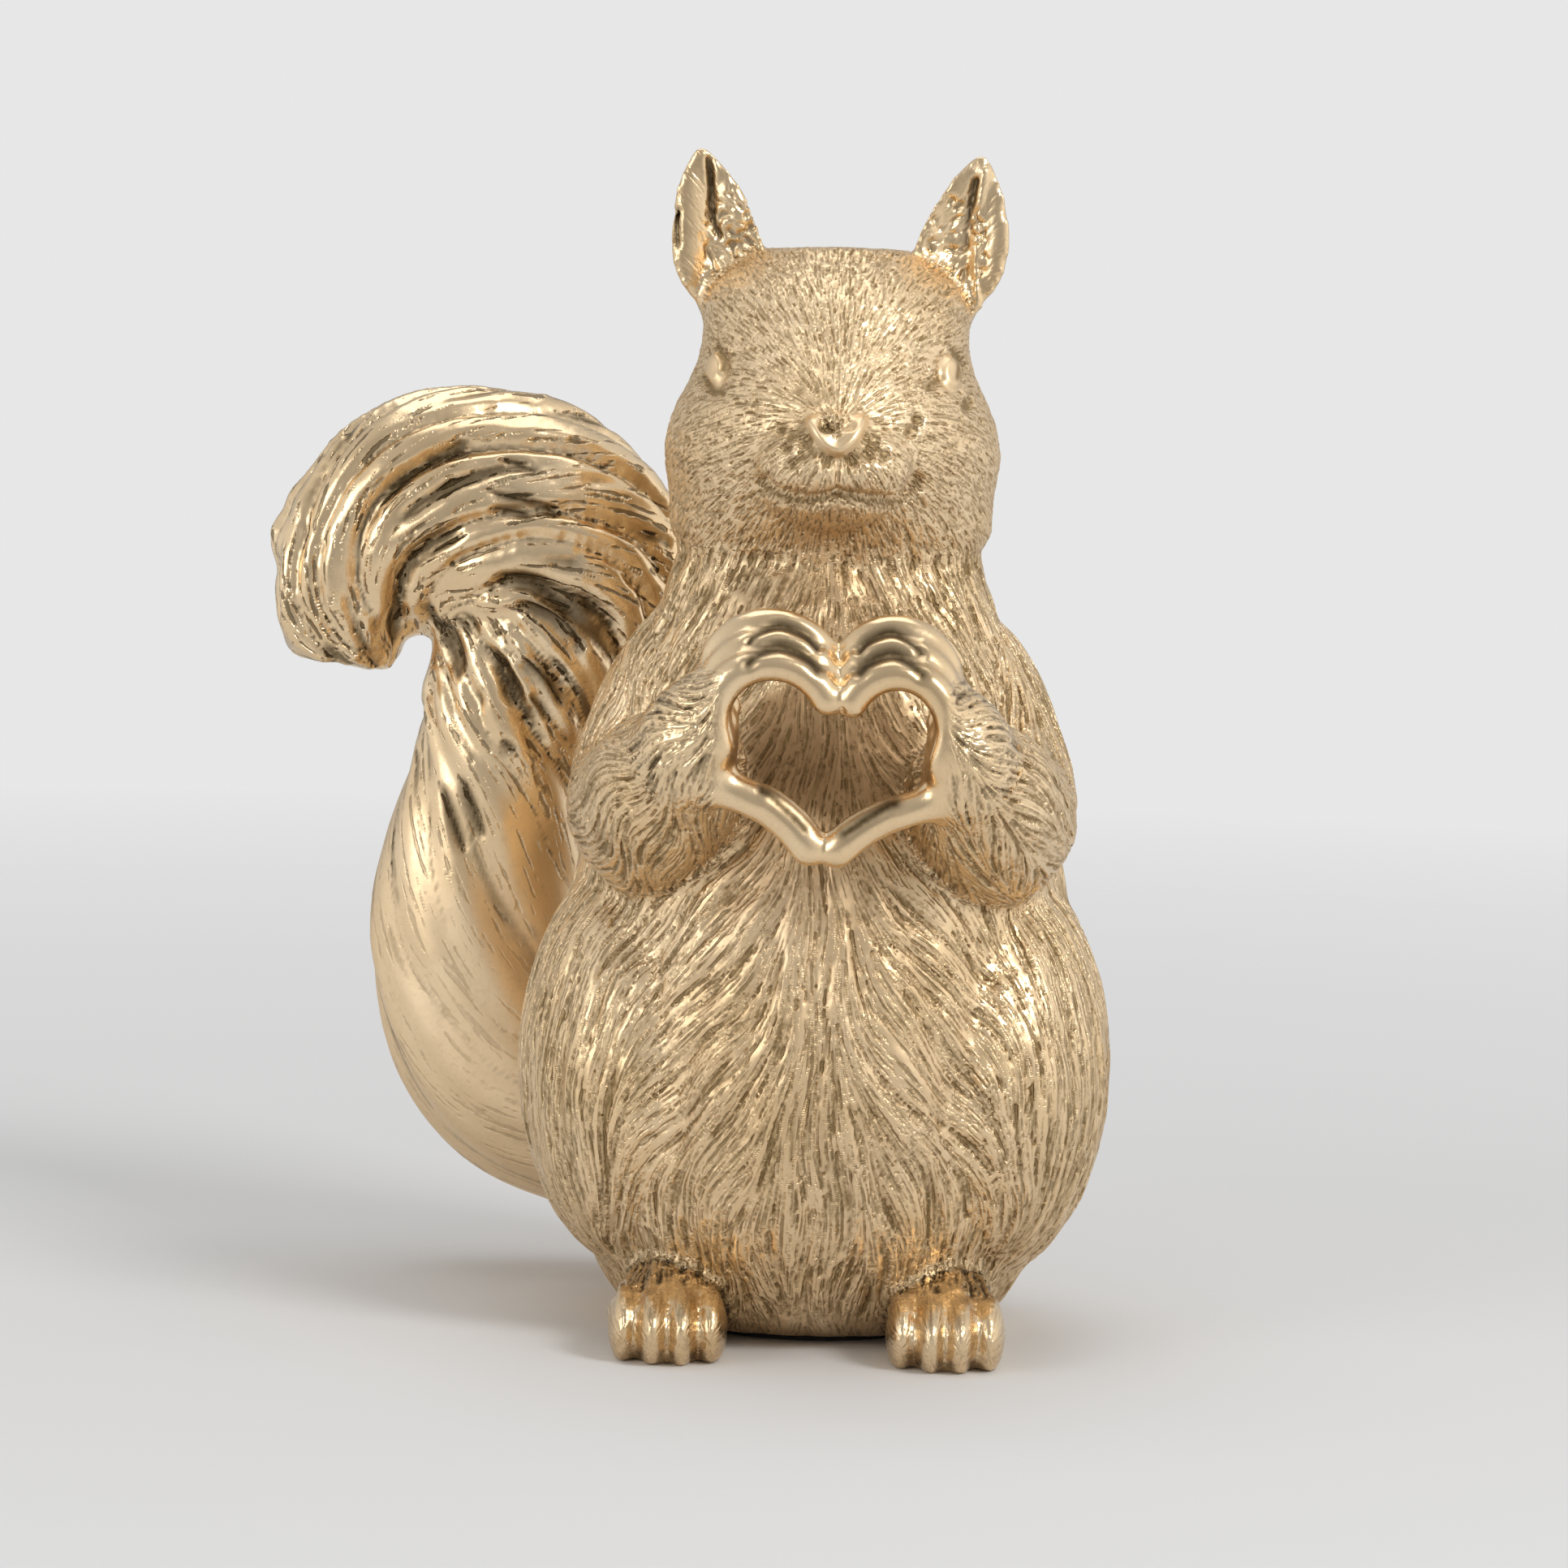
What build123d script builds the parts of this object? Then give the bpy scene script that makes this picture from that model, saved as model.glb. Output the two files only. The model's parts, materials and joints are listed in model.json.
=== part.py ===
"""A seated squirrel figurine in gold-finished cast resin, paws held together in a heart.

The castings are modelled as they are glued up: a hollow body, a head with a neck
spigot, ears, arms, paws, a tail and feet that peg into it, a plug that closes the
pouring hole, and a felt disc underneath. Millimetres, +Z up. The squirrel faces -Y,
so its right side is at -X. The origin is the centre of the felt on the table.
"""

import os

from math import cos, radians, sin

from build123d import *

# Joints between castings
glue_gap = 0.15
cut_overrun = 2.0

# Body casting
table_gap = 1.0
neck_height = 101.0
torso_half_width = 34.0
belly_depth = 38.0
back_depth = 33.0
shell_wall = 6.0
floor_wall = 7.0
neck_web = 9.0
haunch_radius_x = 16.0
haunch_radius_y = 26.0
haunch_radius_z = 27.0
haunch_offset_x = 22.2
haunch_forward = 6.0
haunch_height = 34.5

# Height, half width, belly depth, back depth and parting of each section of the torso
torso_shares = (
    (0.00, 0.68, 0.50, 0.68, 1.00),
    (0.05, 0.79, 0.72, 0.81, 1.00),
    (0.15, 0.92, 0.91, 0.94, 1.00),
    (0.30, 1.00, 1.00, 1.00, 1.00),
    (0.45, 0.98, 0.98, 0.98, 1.10),
    (0.60, 0.91, 0.91, 0.92, 1.25),
    (0.75, 0.80, 0.79, 0.82, 1.40),
    (0.88, 0.68, 0.62, 0.68, 1.50),
    (1.00, 0.57, 0.46, 0.52, 1.55),
)

# Tufts of fur: valleys between them, in degrees each way from the front parting
tuft_valleys = (14, 30, 47, 66, 88, 112, 136, 158)
tuft_depth_share = 0.022
haunch_tuft_count = 14
haunch_rise_shares = (-0.95, -0.80, -0.50, -0.15, 0.15, 0.50, 0.80, 0.95)

# Underside: pouring hole, plug and felt
pour_hole_radius = 11.0
plug_ledge = 2.5
plug_ledge_depth = 3.0
felt_radius = 16.5
felt_thickness = 1.6

# Head casting
head_height = 37.0
cheek_half_width = 21.6
face_depth = 27.5
nape_depth = 20.0
neck_spigot_radius = 10.0
neck_spigot_length = 7.0
muzzle_radius_x = 10.5
muzzle_radius_y = 10.6
muzzle_radius_z = 8.6
muzzle_forward = 20.5
muzzle_rise = 11.5
nose_radius_x = 3.5
nose_radius_y = 2.6
nose_radius_z = 2.6
nose_forward = 28.8
nose_rise = 15.8
eye_radius_x = 1.5
eye_radius_y = 2.2
eye_radius_z = 2.9
eye_offset_x = 14.9
eye_forward = 12.3
eye_rise = 22.6

# Height, half width, face depth and nape depth of each section of the head
head_shares = (
    (0.000, 0.90, 0.66, 0.86),
    (0.120, 0.96, 0.80, 0.92),
    (0.290, 1.00, 0.95, 0.98),
    (0.450, 0.95, 1.00, 1.00),
    (0.600, 0.83, 0.90, 0.99),
    (0.720, 0.79, 0.76, 0.94),
    (0.840, 0.77, 0.65, 0.88),
    (0.930, 0.65, 0.50, 0.74),
    (0.985, 0.46, 0.32, 0.52),
    (1.000, 0.26, 0.17, 0.30),
)

# Ears
ear_height = 22.4
ear_half_width = 6.3
ear_back_bulge = 5.6
ear_scoop = 1.2
ear_offset_x = 13.6
ear_splay = 4.4
ear_setback = 1.5
ear_rise = 28.3
ear_peg_radius = 1.5
ear_peg_length = 8.0
ear_peg_share = 0.35

# Height, half width and thickness of each section of an ear
ear_shares = (
    (0.00, 0.62, 1.00),
    (0.20, 0.86, 1.00),
    (0.42, 1.00, 0.92),
    (0.62, 0.84, 0.78),
    (0.82, 0.56, 0.58),
    (0.95, 0.25, 0.36),
    (1.00, 0.10, 0.20),
)

# Arms, from the shoulder round the elbow to the wrist
arm_radius = 10.6
shoulder_drop = 8.5
shoulder_offset_x = 16.2
elbow_offset_x = 21.8
elbow_forward = 17.0
elbow_drop = 9.5
wrist_offset_x = 17.8
wrist_forward = 39.5
wrist_drop = 1.5
shoulder_peg_radius = 3.0
shoulder_peg_length = 4.0
shoulder_peg_root = 2.5
shoulder_peg_share = 0.35

# Place along the arm and radius there
arm_shares = (
    (0.00, 0.36),
    (0.15, 0.78),
    (0.38, 0.98),
    (0.62, 1.00),
    (0.80, 0.95),
    (0.93, 0.86),
    (1.00, 0.74),
)

# Paws, whose fingers and thumbs frame the heart
heart_forward = 44.5
heart_below_neck = 23.0
heart_half_width = 11.3
lobe_rise = 8.6
notch_rise = 4.8
heart_drop = 9.3
finger_radius = 2.1
finger_step_back = 2.9
finger_step_up = 2.3
finger_count = 3
thumb_radius = 2.4
palm_radius_x = 6.2
palm_radius_y = 7.5
palm_radius_z = 9.0
palm_setback = 2.5
wrist_peg_radius = 2.2
wrist_peg_length = 5.0
lobe_crown_share = 0.6
tip_press_share = 0.7
thumb_root_share = 0.56
thumb_bend_share = 0.53

# Feet
foot_offset_x = 17.4
foot_half_width = 7.4
foot_height = 11.2
foot_length = 27.0
foot_waist_share = 0.35
foot_setback = 2.6
toe_reach = 40.0
toe_count = 4
toe_radius_x = 2.15
toe_radius_y = 6.5
toe_radius_z = 5.0
toe_rise = 4.2
toe_spread = 10.8
toe_stagger = 2.6
foot_peg_radius = 2.6
foot_peg_length = 4.0
foot_peg_root = 3.0

# Tail
tail_height = 118.4
tail_reach = 73.5
tail_depth = 13.0
tail_setback = 33.0
tail_peg_radius = 5.5
tail_peg_length = 4.5
tail_peg_root = 4.0
lock_count = 10
lock_depth_share = 0.1
lock_turn = 414

# Inner edge across and up, outer edge across and up, depth, setback of each section
tail_shares = (
    (0.050, 0.070, 0.030, 0.190, 0.45, 0.78),
    (0.160, 0.030, 0.100, 0.246, 0.85, 0.85),
    (0.500, 0.081, 0.260, 0.277, 0.97, 0.97),
    (0.710, 0.159, 0.360, 0.324, 1.00, 1.00),
    (0.820, 0.308, 0.390, 0.401, 1.00, 1.00),
    (0.810, 0.443, 0.410, 0.468, 0.95, 0.98),
    (0.755, 0.556, 0.410, 0.546, 0.90, 0.95),
    (0.735, 0.639, 0.380, 0.618, 0.90, 0.93),
    (0.725, 0.690, 0.290, 0.701, 0.95, 0.92),
    (0.722, 0.709, 0.240, 0.824, 1.00, 0.92),
    (0.728, 0.717, 0.360, 0.943, 1.00, 0.92),
    (0.738, 0.720, 0.600, 0.998, 1.00, 0.92),
    (0.750, 0.718, 0.830, 0.977, 0.95, 0.92),
    (0.762, 0.709, 0.965, 0.876, 0.85, 0.90),
    (0.772, 0.692, 1.000, 0.763, 0.72, 0.88),
    (0.790, 0.676, 0.975, 0.696, 0.58, 0.86),
)


def egg_section(plane, half_width, front, back):
    """One closed section: a half ellipse forwards and another backwards."""
    with BuildSketch(plane) as section:
        with BuildLine():
            EllipticalCenterArc((0, 0), half_width, back, 0, arc_size=180)
            EllipticalCenterArc((0, 0), half_width, front, 180, arc_size=180)
        make_face()
    return section.sketch


def lobed_section(plane, half_width, front, back, valleys, depth_share):
    """One closed section that swells between valleys at the given angles."""

    def place(angle, reach):
        turn = radians(angle)
        depth = back if sin(turn) > 0 else front
        return (reach * half_width * cos(turn), reach * depth * sin(turn))

    with BuildSketch(plane) as section:
        with BuildLine():
            for start, stop in zip(valleys, valleys[1:] + [valleys[0] + 360]):
                ThreePointArc(
                    place(start, 1 - depth_share),
                    place((start + stop) / 2, 1),
                    place(stop, 1 - depth_share),
                )
        make_face()
    return section.sketch


def parted(parting):
    """Angles of the torso's valleys at one height, drawn to the front as the parting rises."""
    sides = [180 * (valley / 180) ** parting for valley in tuft_valleys]
    return [270 - side for side in reversed(sides)] + [270] + [270 + side for side in sides] + [450]


def torso_form(grow, low, high, depth_share):
    """The pear-shaped torso between two heights, with every wall moved out by grow."""
    sections = [
        lobed_section(
            Plane.XY.offset(low + height * (high - low)),
            width * torso_half_width + grow,
            front * belly_depth + grow,
            back * back_depth + grow,
            parted(parting),
            depth_share,
        )
        for height, width, front, back, parting in torso_shares
    ]
    with BuildPart() as form:
        loft(sections)
    return form.part


def torso_seat(height):
    """Half width, belly depth and back depth of the torso at one height."""
    place = (height - table_gap) / (neck_height - table_gap)
    for lower, upper in zip(torso_shares, torso_shares[1:]):
        if place <= upper[0]:
            break
    blend = (place - lower[0]) / (upper[0] - lower[0])
    shares = [low + blend * (high - low) for low, high in zip(lower[1:4], upper[1:4])]
    return [share * size for share, size in zip(shares, (torso_half_width, belly_depth, back_depth))]


def on_ellipse(reach, place, span):
    """How far an ellipse reaches where a second axis is at a given place in its span."""
    return reach * (1 - (place / span) ** 2) ** 0.5


def head_form(grow):
    """The skull and cheeks above the neck joint, with every wall moved out by grow."""
    sections = [
        egg_section(
            Plane.XY.offset(neck_height + height * head_height),
            width * cheek_half_width + grow,
            front * face_depth + grow,
            back * nape_depth + grow,
        )
        for height, width, front, back in head_shares
    ]
    with BuildPart() as form:
        loft(sections)
    return form.part


def ellipsoid(centre, radii):
    """A unit ball stretched to three radii and set at its centre."""
    with BuildPart() as form:
        Sphere(1)
        scale(by=radii)
    return form.part.moved(Location(centre))


def haunch_form(grow, side):
    """One haunch, with every wall moved out by grow; both ends of it are inside the torso."""
    valleys = [360 * tuft / haunch_tuft_count for tuft in range(haunch_tuft_count)]
    sections = []
    for rise in haunch_rise_shares:
        centre = (side * haunch_offset_x, -haunch_forward, haunch_height + rise * (haunch_radius_z + grow))
        width = on_ellipse(haunch_radius_x + grow, rise, 1)
        depth = on_ellipse(haunch_radius_y + grow, rise, 1)
        sections.append(lobed_section(Plane(centre), width, depth, depth, valleys, tuft_depth_share))
    with BuildPart() as form:
        loft(sections)
    return form.part


def body_form(grow):
    """Torso and haunches together, as the pieces around them meet it."""
    with BuildPart() as form:
        add(torso_form(grow, table_gap, neck_height, tuft_depth_share))
        for side in (-1, 1):
            add(haunch_form(grow, side))
        split(bisect_by=Plane.XY.offset(table_gap - grow), keep=Keep.TOP)
    return form.part


def peg(plane, radius, length):
    """A round peg that grows from a plane along its normal."""
    with BuildPart() as pin:
        with BuildSketch(plane):
            Circle(radius)
        extrude(amount=length)
    return pin.part


def digit(base, bend, tip, radius):
    """A finger or thumb: a round bar bent through three points, with rounded ends."""
    with BuildPart() as form:
        with BuildLine():
            arch = ThreePointArc(base, bend, tip)
        with BuildSketch(Plane(arch @ 0, z_dir=arch % 0)):
            Circle(radius)
        sweep()
        with Locations(base, tip):
            Sphere(radius)
    return form.part


body_cutter = body_form(glue_gap)
head_cutter = head_form(glue_gap)

# Arms: chubby limbs folded up to the chest, cut to the body and pegged to it
heart_height = neck_height - heart_below_neck

with BuildLine() as arm_line:
    arm_path = Spline(
        (-shoulder_offset_x, 0, neck_height - shoulder_drop),
        (-elbow_offset_x, -elbow_forward, heart_height - elbow_drop),
        (-wrist_offset_x, -wrist_forward, heart_height - wrist_drop),
    )
wrist = arm_path @ 1
wrist_direction = arm_path % 1
wrist_peg_plane = Plane(wrist, z_dir=-wrist_direction)

shoulder = arm_path @ shoulder_peg_share
shoulder_half_width, shoulder_belly, _ = torso_seat(shoulder.Z)
shoulder_seat = on_ellipse(shoulder_half_width, shoulder.Y, shoulder_belly)
shoulder_peg_plane = Plane(
    (-shoulder_seat - shoulder_peg_root, shoulder.Y, shoulder.Z), z_dir=(1, 0, 0)
)
shoulder_peg_reach = shoulder_peg_root + shoulder_peg_length

with BuildPart() as right_arm:
    for place, radius in arm_shares:
        with BuildSketch(Plane(arm_path @ place, z_dir=arm_path % place)):
            Circle(radius * arm_radius)
    loft()
    add(body_cutter, mode=Mode.SUBTRACT)
    add(peg(shoulder_peg_plane, shoulder_peg_radius, shoulder_peg_reach))
    wrist_socket = peg(wrist_peg_plane, wrist_peg_radius + glue_gap, wrist_peg_length + glue_gap)
    add(wrist_socket, mode=Mode.SUBTRACT)

# Paws: fingers arch over the lobes of the heart and the thumb closes its point
with BuildPart() as right_paw:
    palm_centre = (-heart_half_width - palm_radius_x, palm_setback - heart_forward, heart_height)
    add(ellipsoid(palm_centre, (palm_radius_x, palm_radius_y, palm_radius_z)))
    for step in range(finger_count):
        forward = -heart_forward - finger_step_back + step * finger_step_back
        rise = heart_height + step * finger_step_up
        add(
            digit(
                (-heart_half_width - finger_radius, forward, rise),
                (-heart_half_width * lobe_crown_share, forward, rise + lobe_rise + finger_radius),
                (-finger_radius * tip_press_share, forward, rise + notch_rise + finger_radius),
                finger_radius,
            )
        )
    thumb_root = heart_height - heart_drop * thumb_root_share
    thumb_bend = heart_height - heart_drop * thumb_bend_share - thumb_radius
    thumb_tip = heart_height - heart_drop - thumb_radius
    add(
        digit(
            (-heart_half_width - thumb_radius, -heart_forward, thumb_root),
            (-heart_half_width * lobe_crown_share, -heart_forward, thumb_bend),
            (-thumb_radius * tip_press_share, -heart_forward, thumb_tip),
            thumb_radius,
        )
    )
    split(bisect_by=Plane(wrist + wrist_direction * glue_gap, z_dir=wrist_direction), keep=Keep.TOP)
    split(bisect_by=Plane.YZ.offset(-glue_gap / 2), keep=Keep.BOTTOM)
    wrist_peg_root = Plane(wrist + wrist_direction * (glue_gap + wrist_peg_radius), z_dir=-wrist_direction)
    add(peg(wrist_peg_root, wrist_peg_radius, wrist_peg_length + wrist_peg_radius + glue_gap))

# Ears: scooped leaves that lean outwards, cut to the skull and pegged into it
ear_lean = Vector(-ear_splay, 0, ear_height)
ear_root = Vector(-ear_offset_x, ear_setback, neck_height + ear_rise)
ear_peg_start = ear_root + ear_lean * ear_peg_share + Vector(0, (ear_back_bulge + ear_scoop) / 2, 0)
ear_peg_plane = Plane(ear_peg_start, z_dir=-ear_lean)

with BuildPart() as right_ear:
    for height, width, thickness in ear_shares:
        half_width = width * ear_half_width
        with BuildSketch(Plane(ear_root + ear_lean * height)):
            with BuildLine():
                ThreePointArc((-half_width, 0), (0, thickness * ear_back_bulge), (half_width, 0))
                ThreePointArc((half_width, 0), (0, thickness * ear_scoop), (-half_width, 0))
            make_face()
    loft()
    add(head_cutter, mode=Mode.SUBTRACT)
    add(peg(ear_peg_plane, ear_peg_radius, ear_peg_length))

# Head: skull and cheeks, muzzle, nose and eyes, with a spigot below and two ear sockets
with BuildPart() as head:
    add(head_form(0))
    muzzle_centre = (0, -muzzle_forward, neck_height + muzzle_rise)
    add(ellipsoid(muzzle_centre, (muzzle_radius_x, muzzle_radius_y, muzzle_radius_z)))
    nose_centre = (0, -nose_forward, neck_height + nose_rise)
    add(ellipsoid(nose_centre, (nose_radius_x, nose_radius_y, nose_radius_z)))
    for side in (-1, 1):
        eye_centre = (side * eye_offset_x, -eye_forward, neck_height + eye_rise)
        add(ellipsoid(eye_centre, (eye_radius_x, eye_radius_y, eye_radius_z)))
    split(bisect_by=Plane.XY.offset(neck_height + glue_gap), keep=Keep.TOP)
    with BuildSketch(Plane.XY.offset(neck_height - neck_spigot_length)):
        Circle(neck_spigot_radius)
    extrude(amount=neck_spigot_length + cut_overrun)
    ear_socket = peg(ear_peg_plane, ear_peg_radius + glue_gap, ear_peg_length + glue_gap)
    add([ear_socket, ear_socket.mirror(Plane.YZ)], mode=Mode.SUBTRACT)

# Tail: a plume that leaves the lower back, swells, narrows and curls over outwards
tail_middles = []
tail_sections = []
with BuildPart() as tail:
    for row, (inner_x, inner_z, outer_x, outer_z, depth, setback) in enumerate(tail_shares):
        inner = Vector(-inner_x * tail_reach, setback * tail_setback, inner_z * tail_height)
        outer = Vector(-outer_x * tail_reach, setback * tail_setback, outer_z * tail_height)
        across = outer - inner
        tail_middles.append((inner + outer) / 2)
        tail_plane = Plane(tail_middles[-1], x_dir=across, z_dir=across.cross(Vector(0, 1, 0)))
        half_width, thickness = across.length / 2, depth * tail_depth
        turn = lock_turn * row / (len(tail_shares) - 1)
        valleys = [360 * lock / lock_count - turn for lock in range(lock_count)]
        tail_sections.append(
            lobed_section(tail_plane, half_width, thickness, thickness, valleys, lock_depth_share)
        )
    loft(tail_sections)
    tail_root = tail_middles[1]
    tail_half_width, _, tail_back = torso_seat(tail_root.Z)
    tail_seat = on_ellipse(tail_back, tail_root.X, tail_half_width)
    tail_peg_plane = Plane((tail_root.X, tail_seat + tail_peg_root, tail_root.Z), z_dir=(0, -1, 0))
    tail_peg_reach = tail_peg_root + tail_peg_length
    add(body_cutter, mode=Mode.SUBTRACT)
    add(peg(tail_peg_plane, tail_peg_radius, tail_peg_reach))

# Feet: flat soles on the table, toes fanned in front, pegged into the body floor
foot_waist = foot_height * foot_waist_share
foot_peg_height = table_gap + floor_wall / 2
foot_half_seat, foot_belly, _ = torso_seat(foot_peg_height)
foot_seat = on_ellipse(foot_belly, foot_offset_x, foot_half_seat)
foot_peg_plane = Plane((-foot_offset_x, -foot_seat - foot_peg_root, foot_peg_height), z_dir=(0, 1, 0))
foot_peg_reach = foot_peg_root + foot_peg_length

with BuildPart() as right_foot:
    foot_centre = (-foot_offset_x, foot_setback + foot_length / 2 - toe_reach, foot_waist)
    add(ellipsoid(foot_centre, (foot_half_width, foot_length / 2, foot_height - foot_waist)))
    for toe in range(toe_count):
        fan_share = 2 * toe / (toe_count - 1) - 1
        toe_centre = (
            -foot_offset_x + fan_share * toe_spread / 2,
            toe_radius_y - toe_reach + fan_share**2 * toe_stagger,
            toe_rise,
        )
        add(ellipsoid(toe_centre, (toe_radius_x, toe_radius_y, toe_radius_z)))
    split(bisect_by=Plane.XY, keep=Keep.TOP)
    add(body_cutter, mode=Mode.SUBTRACT)
    add(peg(foot_peg_plane, foot_peg_radius, foot_peg_reach))

# Body: a hollow pear with haunches, open below, with a socket for each casting it carries
with BuildPart() as body:
    add(body_form(0))
    add(torso_form(-shell_wall, table_gap + floor_wall, neck_height - neck_web, 0), mode=Mode.SUBTRACT)
    with BuildSketch(Plane.XY.offset(neck_height)):
        Circle(neck_spigot_radius + glue_gap)
    extrude(amount=-neck_spigot_length - glue_gap, mode=Mode.SUBTRACT)
    with BuildSketch(Plane.XY):
        Circle(felt_radius + glue_gap)
    extrude(amount=felt_thickness, mode=Mode.SUBTRACT)
    with BuildSketch(Plane.XY):
        Circle(pour_hole_radius + plug_ledge + glue_gap)
    extrude(amount=felt_thickness + plug_ledge_depth + glue_gap, mode=Mode.SUBTRACT)
    with BuildSketch(Plane.XY):
        Circle(pour_hole_radius + glue_gap)
    extrude(amount=table_gap + floor_wall + cut_overrun, mode=Mode.SUBTRACT)
    shoulder_socket = peg(shoulder_peg_plane, shoulder_peg_radius + glue_gap, shoulder_peg_reach + glue_gap)
    foot_socket = peg(foot_peg_plane, foot_peg_radius + glue_gap, foot_peg_reach + glue_gap)
    for socket in (shoulder_socket, foot_socket):
        add([socket, socket.mirror(Plane.YZ)], mode=Mode.SUBTRACT)
    add(peg(tail_peg_plane, tail_peg_radius + glue_gap, tail_peg_reach + glue_gap), mode=Mode.SUBTRACT)

# Plug: a stepped disc that closes the pouring hole from below
with BuildPart() as base_plug:
    with BuildSketch(Plane.XY.offset(felt_thickness)):
        Circle(pour_hole_radius + plug_ledge)
    extrude(amount=plug_ledge_depth)
    with BuildSketch(Plane.XY.offset(felt_thickness)):
        Circle(pour_hole_radius)
    extrude(amount=table_gap + floor_wall - felt_thickness)

# Felt: a disc let into the underside, level with the soles of the feet
with BuildPart() as felt_base:
    with BuildSketch(Plane.XY):
        Circle(felt_radius)
    extrude(amount=felt_thickness)

# The left side is the right side seen in a mirror
with BuildPart() as left_arm:
    mirror(right_arm.part, about=Plane.YZ)
with BuildPart() as left_paw:
    mirror(right_paw.part, about=Plane.YZ)
with BuildPart() as left_ear:
    mirror(right_ear.part, about=Plane.YZ)
with BuildPart() as left_foot:
    mirror(right_foot.part, about=Plane.YZ)

os.makedirs("parts", exist_ok=True)
castings = {
    "body": body,
    "base_plug": base_plug,
    "felt_base": felt_base,
    "head": head,
    "right_ear": right_ear,
    "left_ear": left_ear,
    "right_arm": right_arm,
    "left_arm": left_arm,
    "right_paw": right_paw,
    "left_paw": left_paw,
    "right_foot": right_foot,
    "left_foot": left_foot,
    "tail": tail,
}
for name, casting in castings.items():
    casting.part.label = name
    export_step(casting.part, f"parts/{name}.step")
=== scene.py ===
"""Squirrel ornament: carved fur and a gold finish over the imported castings."""

import json
import math

import bpy
import bmesh
import numpy as np
from bpy.props import FloatProperty, FloatVectorProperty, IntProperty, PointerProperty
from bpy.types import Operator, Panel, PropertyGroup
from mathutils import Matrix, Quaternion, Vector
from mathutils.bvhtree import BVHTree

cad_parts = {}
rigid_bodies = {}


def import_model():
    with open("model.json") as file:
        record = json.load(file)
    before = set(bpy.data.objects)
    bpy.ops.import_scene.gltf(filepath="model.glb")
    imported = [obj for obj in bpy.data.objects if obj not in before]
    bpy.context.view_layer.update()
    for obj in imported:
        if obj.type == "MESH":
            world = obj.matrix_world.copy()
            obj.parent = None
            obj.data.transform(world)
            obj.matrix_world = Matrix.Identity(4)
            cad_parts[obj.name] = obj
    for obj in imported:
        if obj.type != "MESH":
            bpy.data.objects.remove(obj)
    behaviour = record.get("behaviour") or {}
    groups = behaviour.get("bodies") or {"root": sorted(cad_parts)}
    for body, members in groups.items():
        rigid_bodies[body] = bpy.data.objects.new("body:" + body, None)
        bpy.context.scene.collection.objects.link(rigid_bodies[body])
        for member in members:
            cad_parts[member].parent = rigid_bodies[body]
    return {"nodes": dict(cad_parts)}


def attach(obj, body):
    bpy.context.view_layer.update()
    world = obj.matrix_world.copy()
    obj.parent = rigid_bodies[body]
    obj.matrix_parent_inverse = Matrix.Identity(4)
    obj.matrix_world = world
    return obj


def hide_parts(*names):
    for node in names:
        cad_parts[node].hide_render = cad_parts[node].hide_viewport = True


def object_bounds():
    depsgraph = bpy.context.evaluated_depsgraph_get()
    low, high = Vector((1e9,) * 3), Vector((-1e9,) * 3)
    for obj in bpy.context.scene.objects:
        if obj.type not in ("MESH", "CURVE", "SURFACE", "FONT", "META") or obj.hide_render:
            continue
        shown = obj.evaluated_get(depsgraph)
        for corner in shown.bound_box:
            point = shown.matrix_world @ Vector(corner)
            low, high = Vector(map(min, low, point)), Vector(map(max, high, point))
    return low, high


bl_info = {
    "name": "Squirrel Ornament",
    "version": (1, 0, 0),
    "blender": (4, 5, 0),
    "location": "View3D > Sidebar > Squirrel",
    "description": "Carves fur into the squirrel's castings and gives them their gold finish",
    "category": "Object",
}

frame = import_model()
CAD_LOW, CAD_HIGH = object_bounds()

# One millimetre of the figurine as drawn, 151.7 mm tall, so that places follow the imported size
MM = (CAD_HIGH.z - CAD_LOW.z) / 151.7

SKIN = "figurine_skin"
HAIR_STEPS = 6
FURRED = ("body", "head", "right_arm", "left_arm")
POLISHED = ("right_ear", "left_ear", "right_paw", "left_paw", "right_foot", "left_foot", "tail")
CASTINGS = FURRED + POLISHED
HEAD_SEED = 21
EAR_SEED = 31
ARM_SEEDS = (("right_arm", 41), ("left_arm", 42))
PAW_SEEDS = (("right_paw", 51), ("left_paw", 52))

# Materials by the record's slots, and those of pieces that differ from their slot's
SLOT_FINISHES = {
    "gold_fur": "carved_gold",
    "gold_polish": "burnished_gold",
    "bare_resin": "cast_resin",
    "felt": "black_felt",
}
OWN_FINISHES = {"head": "stippled_gold", "tail": "brushed_gold"}

# Lamps with place, size and power, in metres and watts
LAMPS = (
    ("key_softbox", (0.75, -0.75, 0.85), 0.4, 6.8),
    ("overhead_softbox", (-0.05, 0.15, 1.15), 0.8, 2.8),
    ("fill_softbox", (-0.95, -0.8, 0.45), 0.7, 3.4),
)
FLOOR_RADIUS = 2.5
FADE_START, FADE_WIDTH = 0.15, 0.5
AMBIENT = 0.58
SENSOR_WIDTH = 36.0
CAMERA_SHIFT = (-0.02547, -0.0257)
AIM_HEIGHT = 75

# Rounds of smoothing at the glue lines of castings
SEAM_ROUNDS = (
    (("head",), 60), (("right_arm", "left_arm"), 30), (("right_paw", "left_paw"), 50), (("tail",), 60),
    (("right_ear", "left_ear"), 20), (("right_foot", "left_foot"), 26),
)

# Darker, matt patches of painted shade behind the heart and under the chin, and also under the thumbs and down
# the belly, less metallic as where little gold reached: place, radii, castings, where they are full, and
# strength
DULL_AND_SHADE_PATCHES = (
    ((1.0, -25.0, 76.5), (15.0, 14.0, 12.5), ("body",), 0.3, 1.0),
    ((0.0, -31.0, 62.0), (19.0, 14.0, 12.0), ("body",), 0.6, 0.25),
    ((0.0, -20.0, 93.0), (20.0, 16.0, 9.0), ("body", "head"), 0.6, 0.5),
    ((0.0, -36.0, 42.0), (26.0, 24.0, 34.0), ("body",), 0.5, 0.2),
)

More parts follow.
